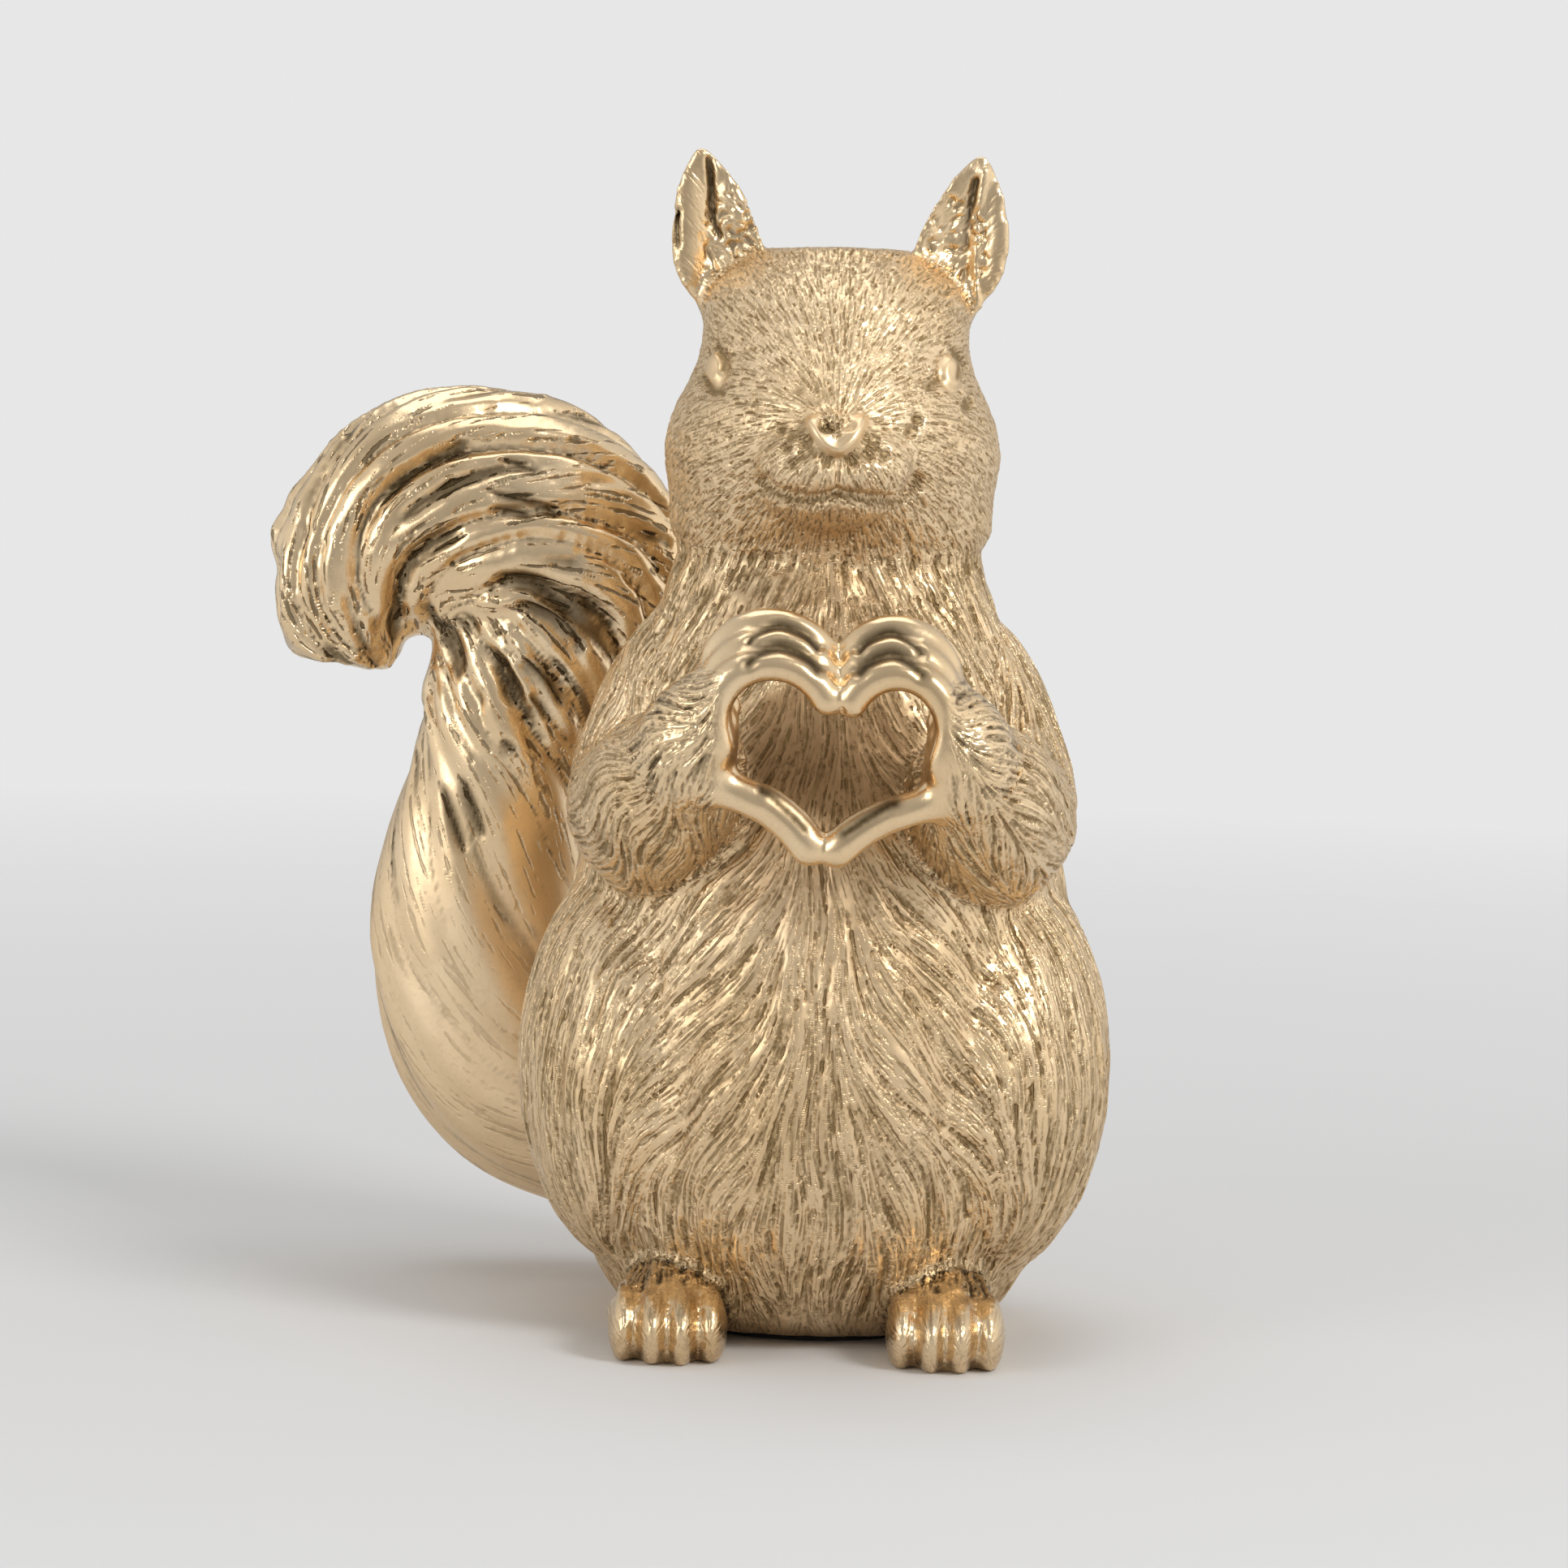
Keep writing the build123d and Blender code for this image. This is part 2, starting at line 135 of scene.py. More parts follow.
# Places on the squirrel, in millimetres
HEART = (0.0, -44.5, 78.0)
NOSE = (0.6, -31.0, 116.6)
EYES = ((-15.4, -14.2, 123.6), (14.8, -14.2, 124.0))
CROWN = (0.8, -2.0, 138.0)
MUZZLE_PADS = ((-5.4, -29.6, 111.8), (7.0, -28.0, 111.9))

# Places on the face as seen from the front, across and up
# The second nose pit is a shallow hollow with painted shade, beside the first
NOSE_PITS = (((-0.6, 117.7), (1.5, 1.2), 1.2, 1.0), ((1.6, 117.7), (1.5, 0.9), 0.6, 0.6))
NOSE_WINGS = ((-2.5, 117.6), (-1.3, 115.8), (0.6, 114.7), (2.3, 115.9), (3.3, 117.9))
NOSE_SHADES = (
    ((-4.3, 116.8), (-2.7, 114.6), (-0.5, 113.3)),
    ((2.3, 113.3), (4.1, 114.8), (5.2, 116.6)),
)
EYE_LINES = (
    ((-14.9, 126.2), (-14.1, 125.0), (-14.2, 123.6)),
    ((-16.6, 122.1), (-15.6, 120.9), (-14.2, 120.8)),
    ((15.1, 126.5), (15.9, 125.2), (15.8, 123.4)),
    ((11.9, 122.3), (13.2, 123.2)),
)
MOUTH = (
    (-8.8, 109.9), (-7.5, 108.9), (-5.0, 108.1), (-2.4, 107.9), (0.4, 108.7),
    (2.1, 108.6), (4.6, 108.2), (7.7, 107.8), (9.7, 108.9), (10.7, 110.6),
)
PHILTRUM = ((0.8, 113.5), (0.8, 109.5))
FACE_PITS = (
    (-5.2, 116.3), (-3.8, 113.8), (-5.9, 114.8), (-3.4, 115.4), (-6.6, 116.9), (-4.9, 112.7),
    (4.5, 114.0), (2.7, 113.3), (5.2, 115.3), (6.5, 114.1), (9.8, 116.8), (10.6, 118.4), (16.9, 119.8),
)

# Grooves with width and depth, folds with radii and height, and hollows of the ears
RIGHT_EAR_GROOVES = (
    (((-16.9, 2.0, 149.6), (-16.5, 2.3, 145.0), (-16.2, 2.5, 141.6), (-15.4, 2.6, 139.9)), 0.45, 0.9),
    (((-21.1, 1.7, 142.7), (-20.8, 1.8, 138.8)), 0.6, 0.9),
)
LEFT_EAR_GROOVES = (
    (((17.2, 2.0, 148.0), (16.6, 2.3, 144.1), (16.2, 2.4, 139.3)), 0.45, 0.6),
)
LEFT_EAR_RIDGE = ((18.4, 2.0, 149.0), (18.0, 2.3, 144.1), (17.8, 2.4, 137.3), (18.0, 1.7, 131.6))
EAR_FOLDS = {
    "right_ear": (((-19.3, 139.5), (2.4, 9.0), 0.7), ((-13.8, 143.0), (2.4, 5.0), 0.5)),
    "left_ear": (((20.2, 139.0), (2.2, 9.0), 0.6), ((14.2, 141.5), (2.4, 5.0), -0.6)),
}
EAR_HOLLOWS = {"right_ear": (-13.6, 2.4, 139.5), "left_ear": (15.2, 2.4, 139.5)}
HEART_SIDES = {"right_paw": (-11.5, -45.0, 76.0), "left_paw": (13.4, -45.0, 74.6)}
# Gap lines between the fingers, darkened as painted shade, and the thumb's top, darkened as a painted dark
# reflection
FINGER_ARCH = ((10.6, 8.4), (9.6, 9.6), (6.8, 10.7), (3.8, 9.6), (2.4, 8.2))
THUMB_TOP = ((8.2, 73.0), (6.8, 72.3), (2.4, 68.7))

# Clefts and streaks of the toes: places across, side view of the line, width, depth and shade
TOE_LINES = (
    ((13.8, 17.4, 21.0), ((-41.0, 0.5), (-39.5, 6.0), (-36.0, 9.5), (-31.0, 11.5)), 0.7, 0.6, 1.0),
    ((12.3, 15.3, 16.2, 18.8, 19.7, 22.4), ((-39.6, 6.2), (-36.0, 9.7), (-33.0, 11.2)), 0.45, 0.25, 0.9),
)

# The tail as seen from the front, with slits and their widths, and the arm's line in space
TAIL_CROOK = (-53.5, 87.0)
TAIL_SLITS = (
    (((-50.8, 66.4), (-48.7, 61.2), (-46.8, 56.4)), 0.95),
    (((-48.0, 67.6), (-46.1, 62.7), (-44.4, 58.6)), 0.85),
    (((-44.5, 93.9), (-38.5, 93.1), (-31.5, 87.8)), 1.2),
    (((-41.5, 91.0), (-35.4, 88.7), (-31.4, 84.4)), 1.3),
    (((-40.7, 83.1), (-36.7, 80.7), (-34.1, 76.3)), 1.2),
    (((-39.1, 78.7), (-37.6, 76.9), (-36.2, 74.8)), 0.8),
    (((-45.8, 105.3), (-39.9, 104.0), (-35.3, 102.2)), 0.8),
    (((-44.8, 102.9), (-41.8, 102.7), (-38.8, 102.1)), 0.7),
    (((-44.0, 109.4), (-41.0, 108.7), (-38.0, 107.6)), 0.7),
    (((-42.9, 72.3), (-41.7, 71.6), (-40.4, 70.7)), 0.7),
)
ARM_LINE = ((16.2, 0.0, 92.5), (21.8, -17.0, 68.5), (17.8, -39.5, 76.5))
TAIL_LINE = (
    (-2.9, 15.4), (-9.6, 16.3), (-27.9, 21.2), (-39.3, 28.6), (-44.5, 42.0), (-44.8, 53.9),
    (-42.8, 65.2), (-41.0, 74.4), (-37.3, 82.3), (-35.4, 90.8), (-40.0, 98.3), (-49.2, 101.7),
    (-58.1, 100.3), (-63.5, 93.8), (-65.1, 86.1), (-64.9, 81.2),
)


def length(name, description, millimetres):
    return FloatProperty(name=name, description=description, default=millimetres * MM, unit="LENGTH")


def turn(name, description, degrees):
    return FloatProperty(name=name, description=description, default=math.radians(degrees), subtype="ANGLE")


def share(name, description, default):
    return FloatProperty(name=name, description=description, default=default, min=0, max=1, subtype="FACTOR")


def paint(name, description, default):
    return FloatVectorProperty(
        name=name, description=description, default=default, subtype="COLOR", min=0, max=1
    )


class SquirrelSkinSettings(PropertyGroup):
    """Sizes of the joined skin that the carving starts from"""

    grid: length("Grid", "Edge length of the skin's faces", 0.54)
    softening: IntProperty(
        name="Softening", description="Rounds of smoothing over the glue lines", default=14, min=0
    )
    heart_lean: turn("Heart Lean", "How far the heart is turned between the arms", 5)
    heart_shift: length("Heart Shift", "How far the heart is off the middle", 1.5)


class SquirrelFurSettings(PropertyGroup):
    """Sizes of the carved fur"""

    hair_width: length("Hair Width", "Width of a carved strand", 0.74)
    hair_reach: length("Hair Reach", "Half the length of a carved strand", 3.6)
    hair_depth: length("Hair Depth", "Depth of the grooves between strands", 0.42)
    tuft_width: length("Tuft Width", "Width of a tuft of strands", 3.0)
    tuft_height: length("Tuft Height", "Relief of the tufts", 0.3)
    walk_steps: IntProperty(
        name="Walk Steps", description="Steps of the comb each way along a strand", default=9, min=1
    )
    seed: IntProperty(name="Seed", description="Seed of the fur's pattern", default=7)


class SquirrelTailSettings(PropertyGroup):
    """Sizes of the tail's twisted locks"""

    lock_count: IntProperty(name="Lock Count", description="Locks round the tail", default=13, min=3)
    lock_twist: FloatProperty(
        name="Lock Twist", description="Turns of the locks from root to tip", default=1.2
    )
    lock_depth: FloatProperty(
        name="Lock Depth", description="Depth of the grooves between locks, as a share of the tail", default=0.1
    )


class SquirrelFinishSettings(PropertyGroup):
    """Colours and gloss of the finishes"""

    gold: paint("Gold", "Gold of the ridges", (0.82, 0.59, 0.33))
    pale_gold: paint("Pale Gold", "Rubbed, paler gold", (0.93, 0.73, 0.48))
    # Groove Brown is the darker gold in the grooves, and it also colours painted shade at creases, finger gaps
    # and the mouth
    groove_brown: paint("Groove Brown", "Darker gold left in the grooves", (0.24, 0.155, 0.055))
    # Dull Brown is painted shade behind the heart and under the chin, in a matt brown as where little gold
    # reached
    dull_shade_brown: paint(
        "Dull Brown", "Matt brown behind the heart, where little gold reached", (0.43, 0.28, 0.14)
    )
    fur_roughness: share("Fur Roughness", "Roughness of the furred gold", 0.34)
    polish_roughness: share("Polish Roughness", "Roughness of the smooth gold", 0.24)
    resin: paint("Resin", "Bare cast resin of the plug", (0.72, 0.68, 0.60))
    felt: paint("Felt", "Felt under the base", (0.03, 0.03, 0.032))


class SquirrelStageSettings(PropertyGroup):
    """Floor, light and camera of the picture"""

    floor: paint("Floor", "Colour of the floor", (0.76, 0.76, 0.76))
    backdrop: paint("Backdrop", "Colour behind the figurine", (0.80, 0.80, 0.80))
    camera_distance: length("Camera Distance", "From the camera to the point it looks at", 900)
    camera_elevation: turn("Camera Elevation", "Camera's height above level", 5.5)
    camera_roll: turn("Camera Roll", "Tilt of the picture", 1.7)
    camera_lens: FloatProperty(name="Camera Lens", description="Focal length in millimetres", default=160.2)
    aim_height: length("Aim Height", "Height of the point that the camera looks at", AIM_HEIGHT)


class Wire:
    """A node's output in a sum; the sum adds the Math nodes that it needs"""

    def __init__(self, graph, socket):
        self.graph, self.socket = graph, socket

    def of(self, name):
        """Another output of the same node"""
        return Wire(self.graph, self.socket.node.outputs[name])

    def math(self, operation, first, second=0.0, **settings):
        return self.graph.node("ShaderNodeMath", {"operation": operation, **settings}, {0: first, 1: second})

    def __add__(self, other):
        return self.math("ADD", self, other)

    def __sub__(self, other):
        return self.math("SUBTRACT", self, other)

    def __rsub__(self, other):
        return self.math("SUBTRACT", other, self)

    def __mul__(self, other):
        return self.math("MULTIPLY", self, other)

    def __truediv__(self, other):
        return self.math("DIVIDE", self, other)

    def __rtruediv__(self, other):
        return self.math("DIVIDE", other, self)

    def __pow__(self, other):
        return self.math("POWER", self, other)

    __radd__ = __add__
    __rmul__ = __mul__

    def clamped(self):
        return self.math("ADD", self, 0.0, use_clamp=True)


class Graph:
    """Makes a tree's nodes from their type, settings and socket values"""

    def __init__(self, tree):
        self.tree = tree

    def node(self, kind, settings=None, sockets=None, output=0):
        made = self.tree.nodes.new(kind)
        for name, value in (settings or {}).items():
            setattr(made, name, value)
        for key, value in (sockets or {}).items():
            if isinstance(value, Wire):
                self.tree.links.new(value.socket, made.inputs[key])
            else:
                made.inputs[key].default_value = value
        return Wire(self, made.outputs[output]) if made.outputs else made

    def mixed(self, factor, first, second):
        """First and second colour, mixed by factor"""
        first, second = (c if isinstance(c, Wire) else (*c, 1.0) for c in (first, second))
        return self.node(
            "ShaderNodeMix", {"data_type": "RGBA"}, {0: factor, 6: first, 7: second}, output=2
        )

    def attribute(self, name):
        return self.node("ShaderNodeAttribute", {"attribute_name": name}, output="Fac")


def blank(owner):
    """The emptied node tree of a new material or world"""
    owner.use_nodes = True
    owner.node_tree.nodes.clear()
    return Graph(owner.node_tree)


def smooth_step(low, high, value):
    """0 below low, 1 above high and an even rise between"""
    t = np.clip((value - low) / (high - low), 0.0, 1.0)
    return t * t * (3.0 - 2.0 * t)


def unit(vectors):
    return vectors / np.maximum(np.linalg.norm(vectors, axis=-1, keepdims=True), 1e-12)


def rounded_line(points, count):
    """Places along a smooth line through the points, in metres"""
    knots = np.array(points, float) * MM
    padded = np.vstack((2 * knots[0] - knots[1], knots, 2 * knots[-1] - knots[-2]))
    spans = np.linspace(0, len(knots) - 1 - 1e-9, count)
    first = spans.astype(int)
    t = (spans - first)[:, None]
    a, b, c, d = (padded[first + k] for k in range(4))
    return 0.5 * (2 * b + (c - a) * t + (2 * a - 5 * b + 4 * c - d) * t**2 + (3 * b - a - 3 * c + d) * t**3)


class Skin:
    """The figurine's outer surface as arrays, taken from its mesh and put back"""

    def __init__(self, name=SKIN):
        self.object = bpy.data.objects[name]
        self.mesh = self.object.data
        self.count = len(self.mesh.vertices)
        self.points = self.read(self.mesh.vertices, "co", 3)
        self.normals = self.read(self.mesh.vertex_normals, "vector", 3)
        self.edges = self.read(self.mesh.edges, "vertices", 2, np.int32)

    @staticmethod
    def read(collection, name, width, kind=np.float32):
        values = np.empty(len(collection) * width, kind)
        collection.foreach_get(name, values)
        values = values.astype(float) if kind is np.float32 else values
        return values.reshape(-1, width) if width > 1 else values

    def __getitem__(self, name):
        held = self.mesh.attributes[name]
        if held.data_type == "FLOAT_VECTOR":
            return self.read(held.data, "vector", 3)
        return self.read(held.data, "value", 1, np.int32 if held.data_type == "INT" else np.float32)

    def __setitem__(self, name, values):
        if values.ndim == 2:
            kind, field = "FLOAT_VECTOR", "vector"
        else:
            kind, field = ("INT" if values.dtype.kind == "i" else "FLOAT"), "value"
        held = self.mesh.attributes.get(name) or self.mesh.attributes.new(name, kind, "POINT")
        flat = values.astype(np.int32 if kind == "INT" else np.float32).ravel()
        held.data.foreach_set(field, np.ascontiguousarray(flat))

    def of(self, *names):
        """True on the named castings"""
        return np.isin(self["casting"], [CASTINGS.index(name) for name in names])

    def held(self):
        """1 where the piece is free, falling to 0 at its glue lines"""
        rim = self["rim"] > 0.99
        return np.where(rim, 0.0, 1.0 - self.relaxed(rim.astype(float), 2))

    def near(self, place, radii):
        """1 at a place in millimetres, falling smoothly to 0 at the radii round it"""
        apart = (self.points / MM - np.array(place)) / np.array(radii)
        return np.clip(1.0 - np.sum(apart * apart, axis=1), 0.0, 1.0) ** 2

    def beside(self, line, width):
        """1 on a line of places in millimetres, falling to 0 beside it"""
        _, apart = self.place_on(rounded_line(line, 4 * len(line)))
        return np.exp(-((apart / (width * MM)) ** 2))

    def drawn(self, line, width):
        """1 on a line of (x, z) places in millimetres drawn on the front, falling to 0 beside it"""
        return self.beside(line, width) * self.facing()

    def slit(self, line, width):
        """As drawn, with the line's ends drawn to points"""
        place, apart = self.place_on(rounded_line(line, 4 * len(line)))
        middle = 4 * place * (1 - place)
        within = np.exp(-((apart / (width * MM * (0.3 + 0.7 * middle))) ** 2))
        return within * smooth_step(0.0, 0.6, middle) * self.facing()

    def facing(self):
        """1 on what faces the front, falling to 0 at the sides"""
        return smooth_step(0.3, 0.0, self.normals[:, 1])

    def dotted(self, place, radii):
        """1 at an (x, z) place in millimetres on the front, falling to 0 at the radii round it"""
        apart = (self.points[:, (0, 2)] / MM - np.array(place)) / np.array(radii)
        return np.clip(1.0 - np.sum(apart**2, axis=1), 0.0, 1.0) * self.facing()

    def evened(self, rounds):
        """Places with their small unevenness taken out and nothing shrunk, glue lines held"""
        points, free = self.points, self.held()
        for _ in range(rounds):
            points = self.relaxed(self.relaxed(points, 1, free), 1, -1.05 * free)
        return points

    def hollows(self, low, high, rounds=6):
        """1 in creases deeper than high, in millimetres, and 0 where they are shallower than low"""
        sunk = np.sum((self.relaxed(self.points, rounds) - self.points) * self.normals, axis=1)
        return smooth_step(low, high, sunk / MM)

    def shape(self, points):
        """Puts new places into the mesh"""
        self.points = points
        self.mesh.vertices.foreach_set("co", np.ascontiguousarray(points.astype(np.float32).ravel()))
        self.mesh.update()
        self.normals = self.read(self.mesh.vertex_normals, "vector", 3)

    def relaxed(self, values, rounds, weight=1.0):
        """Values averaged with their neighbours' along the edges"""
        table = values if values.ndim == 2 else values[:, None]
        near, far = self.edges.T
        links = np.bincount(self.edges.ravel(), minlength=self.count)[:, None]
        weight = np.broadcast_to(weight, self.count)[:, None]
        for _ in range(rounds):
            sums = [
                np.bincount(near, column[far], self.count) + np.bincount(far, column[near], self.count)
                for column in table.T
            ]
            table = table + 0.5 * weight * (np.stack(sums, axis=1) / np.maximum(links, 1) - table)
        return table if values.ndim == 2 else table[:, 0]

    def tangent(self, vectors):
        """Vectors laid along the surface, at unit length"""
        along = vectors - self.normals * np.sum(vectors * self.normals, axis=1, keepdims=True)
        return unit(along)

    def place_on(self, line):
        """Nearest place, from 0 to 1, on a line of points, and the distance to it, for each vertex"""
        starts, steps = line[:-1], np.diff(line, axis=0)
        best = np.full(self.count, np.inf)
        place = np.zeros(self.count)
        points = self.points if line.shape[1] == 3 else self.points[:, (0, 2)]
        for index, (start, step) in enumerate(zip(starts, steps)):
            t = np.clip((points - start) @ step / (step @ step), 0.0, 1.0)
            apart = np.linalg.norm(points - start - t[:, None] * step, axis=1)
            nearer = apart < best
            best[nearer], place[nearer] = apart[nearer], (index + t[nearer]) / len(steps)
        return place, best


def grown_mesh(name, points, faces):
    """A mesh from arrays of points and of faces with equal corners"""
    corners = faces.shape[1]
    mesh = bpy.data.meshes.new(name)
    mesh.vertices.add(len(points))
    mesh.vertices.foreach_set("co", np.ascontiguousarray(points.astype(np.float32).ravel()))
    mesh.loops.add(faces.size)
    mesh.loops.foreach_set("vertex_index", np.ascontiguousarray(faces.astype(np.int32).ravel()))
    mesh.polygons.add(len(faces))
    mesh.polygons.foreach_set("loop_start", np.arange(0, faces.size, corners, dtype=np.int32))
    mesh.update(calc_edges=True)
    mesh.validate()
    return mesh


def linked(name, mesh):
    made = bpy.data.objects.new(name, mesh)
    bpy.context.scene.collection.objects.link(made)
    return made


def evaluated_mesh(obj):
    """The object's mesh with its modifiers worked in"""
    graph = bpy.context.evaluated_depsgraph_get()
    return bpy.data.meshes.new_from_object(obj.evaluated_get(graph))


def largest_island(count, edges):
    """True on the vertices of the largest connected piece"""
    root = np.arange(count)
    near, far = edges.T
    while True:
        low = np.minimum(root[near], root[far])
        lower = root.copy()
        np.minimum.at(lower, root[near], low)
        np.minimum.at(lower, root[far], low)
        lower = lower[lower]
        if np.array_equal(lower, root):
            break
        root = lower
    return root == np.bincount(root).argmax()


class SQUIRREL_OT_stage(Operator):
    """Floor, soft studio light and the camera at the picture's angle"""

    bl_idname = "squirrel.stage"
    bl_label = "Stage"

    def execute(self, context):
        stage = context.scene.squirrel_stage
        context.scene.view_settings.view_transform = "Standard"
        self.lay_floor(stage)
        self.hang_backdrop(context, stage)
        for lamp in LAMPS:
            self.light(*lamp)
        self.aim_camera(context, stage)
        return {"FINISHED"}

    def lay_floor(self, stage):
        made = bmesh.new()
        bmesh.ops.create_circle(made, cap_ends=True, radius=FLOOR_RADIUS, segments=96)
        mesh = bpy.data.meshes.new("floor")
        made.to_mesh(mesh)
        made.free()
        material = bpy.data.materials.new("floor_paper")
        graph = blank(material)
        place = graph.node("ShaderNodeTexCoord", output="Object")
        away = graph.node("ShaderNodeVectorMath", {"operation": "LENGTH"}, {0: place}, output="Value")
        paper = graph.node(
            "ShaderNodeBsdfPrincipled", None, {"Base Color": (*stage.floor, 1.0), "Roughness": 0.75}
        )
        clear = graph.node("ShaderNodeBsdfTransparent")
        fade = ((away - FADE_START) / FADE_WIDTH).clamped()
        shader = graph.node("ShaderNodeMixShader", None, {0: fade, 1: paper, 2: clear})
        graph.node("ShaderNodeOutputMaterial", None, {"Surface": shader})
        mesh.materials.append(material)
        linked("floor", mesh)

    def hang_backdrop(self, context, stage):
        world = bpy.data.worlds.new("studio")
        context.scene.world = world
        graph = blank(world)
        paths = graph.node("ShaderNodeLightPath", output="Is Camera Ray")
        shown = (paths + paths.of("Is Transmission Ray")).clamped()
        direction = graph.node("ShaderNodeTexCoord", output="Generated")
        axes = graph.node("ShaderNodeSeparateXYZ", None, {0: direction}, output="X")
        glow = 0.5 + 0.14 * axes + 0.75 * axes**2.0 + 0.1 * axes.of("Z")
        bounce = paths.of("Is Glossy Ray")
        strength = shown + (1.0 - shown) * (bounce * glow + (1.0 - bounce) * AMBIENT)
        light = graph.node(
            "ShaderNodeBackground", None, {"Color": (*stage.backdrop, 1.0), "Strength": strength}
        )
        graph.node("ShaderNodeOutputWorld", None, {"Surface": light})

    def light(self, name, place, size, power):
        lamp = bpy.data.lights.new(name, "AREA")
        lamp.size, lamp.energy = size, power
        made = linked(name, lamp)
        made.location = place
        made.rotation_mode = "QUATERNION"
        made.rotation_quaternion = (Vector((0, 0, AIM_HEIGHT * MM)) - made.location).to_track_quat("-Z", "Y")

    def aim_camera(self, context, stage):
        camera = bpy.data.cameras.new("camera")
        camera.sensor_width, camera.lens = SENSOR_WIDTH, stage.camera_lens
        camera.shift_x, camera.shift_y = CAMERA_SHIFT
        camera.clip_start, camera.clip_end = 0.01, 20.0
        made = linked("camera", camera)
        level, rise = math.cos(stage.camera_elevation), math.sin(stage.camera_elevation)
        back = Vector((0, -level, rise)) * stage.camera_distance
        made.location = Vector((0, 0, stage.aim_height)) + back
        made.rotation_mode = "QUATERNION"
        roll = Quaternion((0, 0, 1), stage.camera_roll)
        made.rotation_quaternion = (-back).to_track_quat("-Z", "Y") @ roll
        context.scene.camera = made


def leaned(points, sizes):
    """Places leaned with the paws and the heart between them to the squirrel's left"""
    apart = points - np.array(HEART) * MM
    weight = np.exp(-np.sum((apart / MM / (17, 16, 17)) ** 2, axis=1))
    turn = sizes.heart_lean * weight
    x, y, z = apart.T
    cos, sin = np.cos(turn), np.sin(turn)
    turned = np.stack((x * cos + z * sin, y, z * cos - x * sin), axis=1)
    turned[:, 0] += sizes.heart_shift * weight
    return turned + np.array(HEART) * MM


class SQUIRREL_OT_skin(Operator):
    """Joins the castings into one skin, so that fur runs unbroken over the glue lines"""

    bl_idname = "squirrel.skin"
    bl_label = "Skin"

    def execute(self, context):
        sizes = context.scene.squirrel_skin
        points, faces, owners = self.cast_faces()
        made = linked(SKIN, grown_mesh(SKIN, points, faces))
        weld = made.modifiers.new("weld", "WELD")
        weld.merge_threshold = 1e-6
        remesh = made.modifiers.new("remesh", "REMESH")
        remesh.mode, remesh.voxel_size = "VOXEL", sizes.grid
        whole = evaluated_mesh(made)
        made.modifiers.clear()
        made.data = self.outer_shell(whole)
        skin = Skin()
        self.label(skin, points, faces, owners)
        self.soften(skin, sizes)
        self.melt_palms(skin)
        skin.shape(leaned(skin.points, sizes))
        for name in ("groove", "fur", "dull_and_shade"):
            skin[name] = np.zeros(skin.count)
        return {"FINISHED"}

    def soften(self, skin, sizes):
        """Rounds the creases between castings, most at the neck, the shoulders and the wrists"""
        above = smooth_step(3 * MM, 8 * MM, skin.points[:, 2])
        fine = skin.of("right_paw", "left_paw", "right_foot", "left_foot")
        points = skin.relaxed(skin.points, sizes.softening, above * np.where(fine, 0.25, 1.0))
        for names, rounds in SEAM_ROUNDS:
            share = skin.relaxed(skin.of(*names).astype(float), 12)
            crease = 4 * share * (1 - share)
            points = skin.relaxed(points, rounds, above * crease)
        crook = skin.near((TAIL_CROOK[0] + 3.0, 22.0, TAIL_CROOK[1]), (10.0, 25.0, 10.0))
        skin.shape(skin.relaxed(points, 40, np.clip(2 * crook, 0, 1)))

    def melt_palms(self, skin):
        """Sinks the balls of the palms into the forearms, and leaves the fingers"""
        outside = smooth_step(13.2, 15.5, np.abs(skin.points[:, 0]) / MM)
        palms = sum(skin.near((side * 19.5, -41.0, 77.0), (12.0, 13.0, 14.0)) for side in (-1, 1))
        skin.shape(skin.relaxed(skin.points, 150, np.clip(3 * palms, 0, 1) * outside))

    def cast_faces(self):
        """Points, triangles and owners of the castings, with the plug in its pouring hole"""
        points, faces, owners, start = [], [], [], 0
        for index, name in enumerate(CASTINGS + ("base_plug",)):
            mesh = frame["nodes"][name].data
            points.append(Skin.read(mesh.vertices, "co", 3))
            faces.append(Skin.read(mesh.loops, "vertex_index", 1, np.int32).reshape(-1, 3) + start)
            owners.append(np.full(len(faces[-1]), index % len(CASTINGS), np.int32))
            start += len(points[-1])
        return np.vstack(points), np.vstack(faces), np.concatenate(owners)

    def outer_shell(self, mesh):
        points = Skin.read(mesh.vertices, "co", 3)
        edges = Skin.read(mesh.edges, "vertices", 2, np.int32)
        faces = Skin.read(mesh.loops, "vertex_index", 1, np.int32).reshape(-1, 4)
        kept = largest_island(len(points), edges)
        order = np.cumsum(kept) - 1
        return grown_mesh(SKIN, points[kept], order[faces[kept[faces[:, 0]]]])

    def label(self, skin, points, faces, owners):
        """Marks each vertex with the casting whose surface is nearest"""
        tree = BVHTree.FromPolygons(points.tolist(), faces.tolist())
        nearest = [tree.find_nearest(point)[2] for point in skin.points.tolist()]
        casting = owners[nearest]
        shares = np.eye(len(CASTINGS))[casting]
        skin["casting"] = skin.relaxed(shares, 3).argmax(axis=1).astype(np.int32)


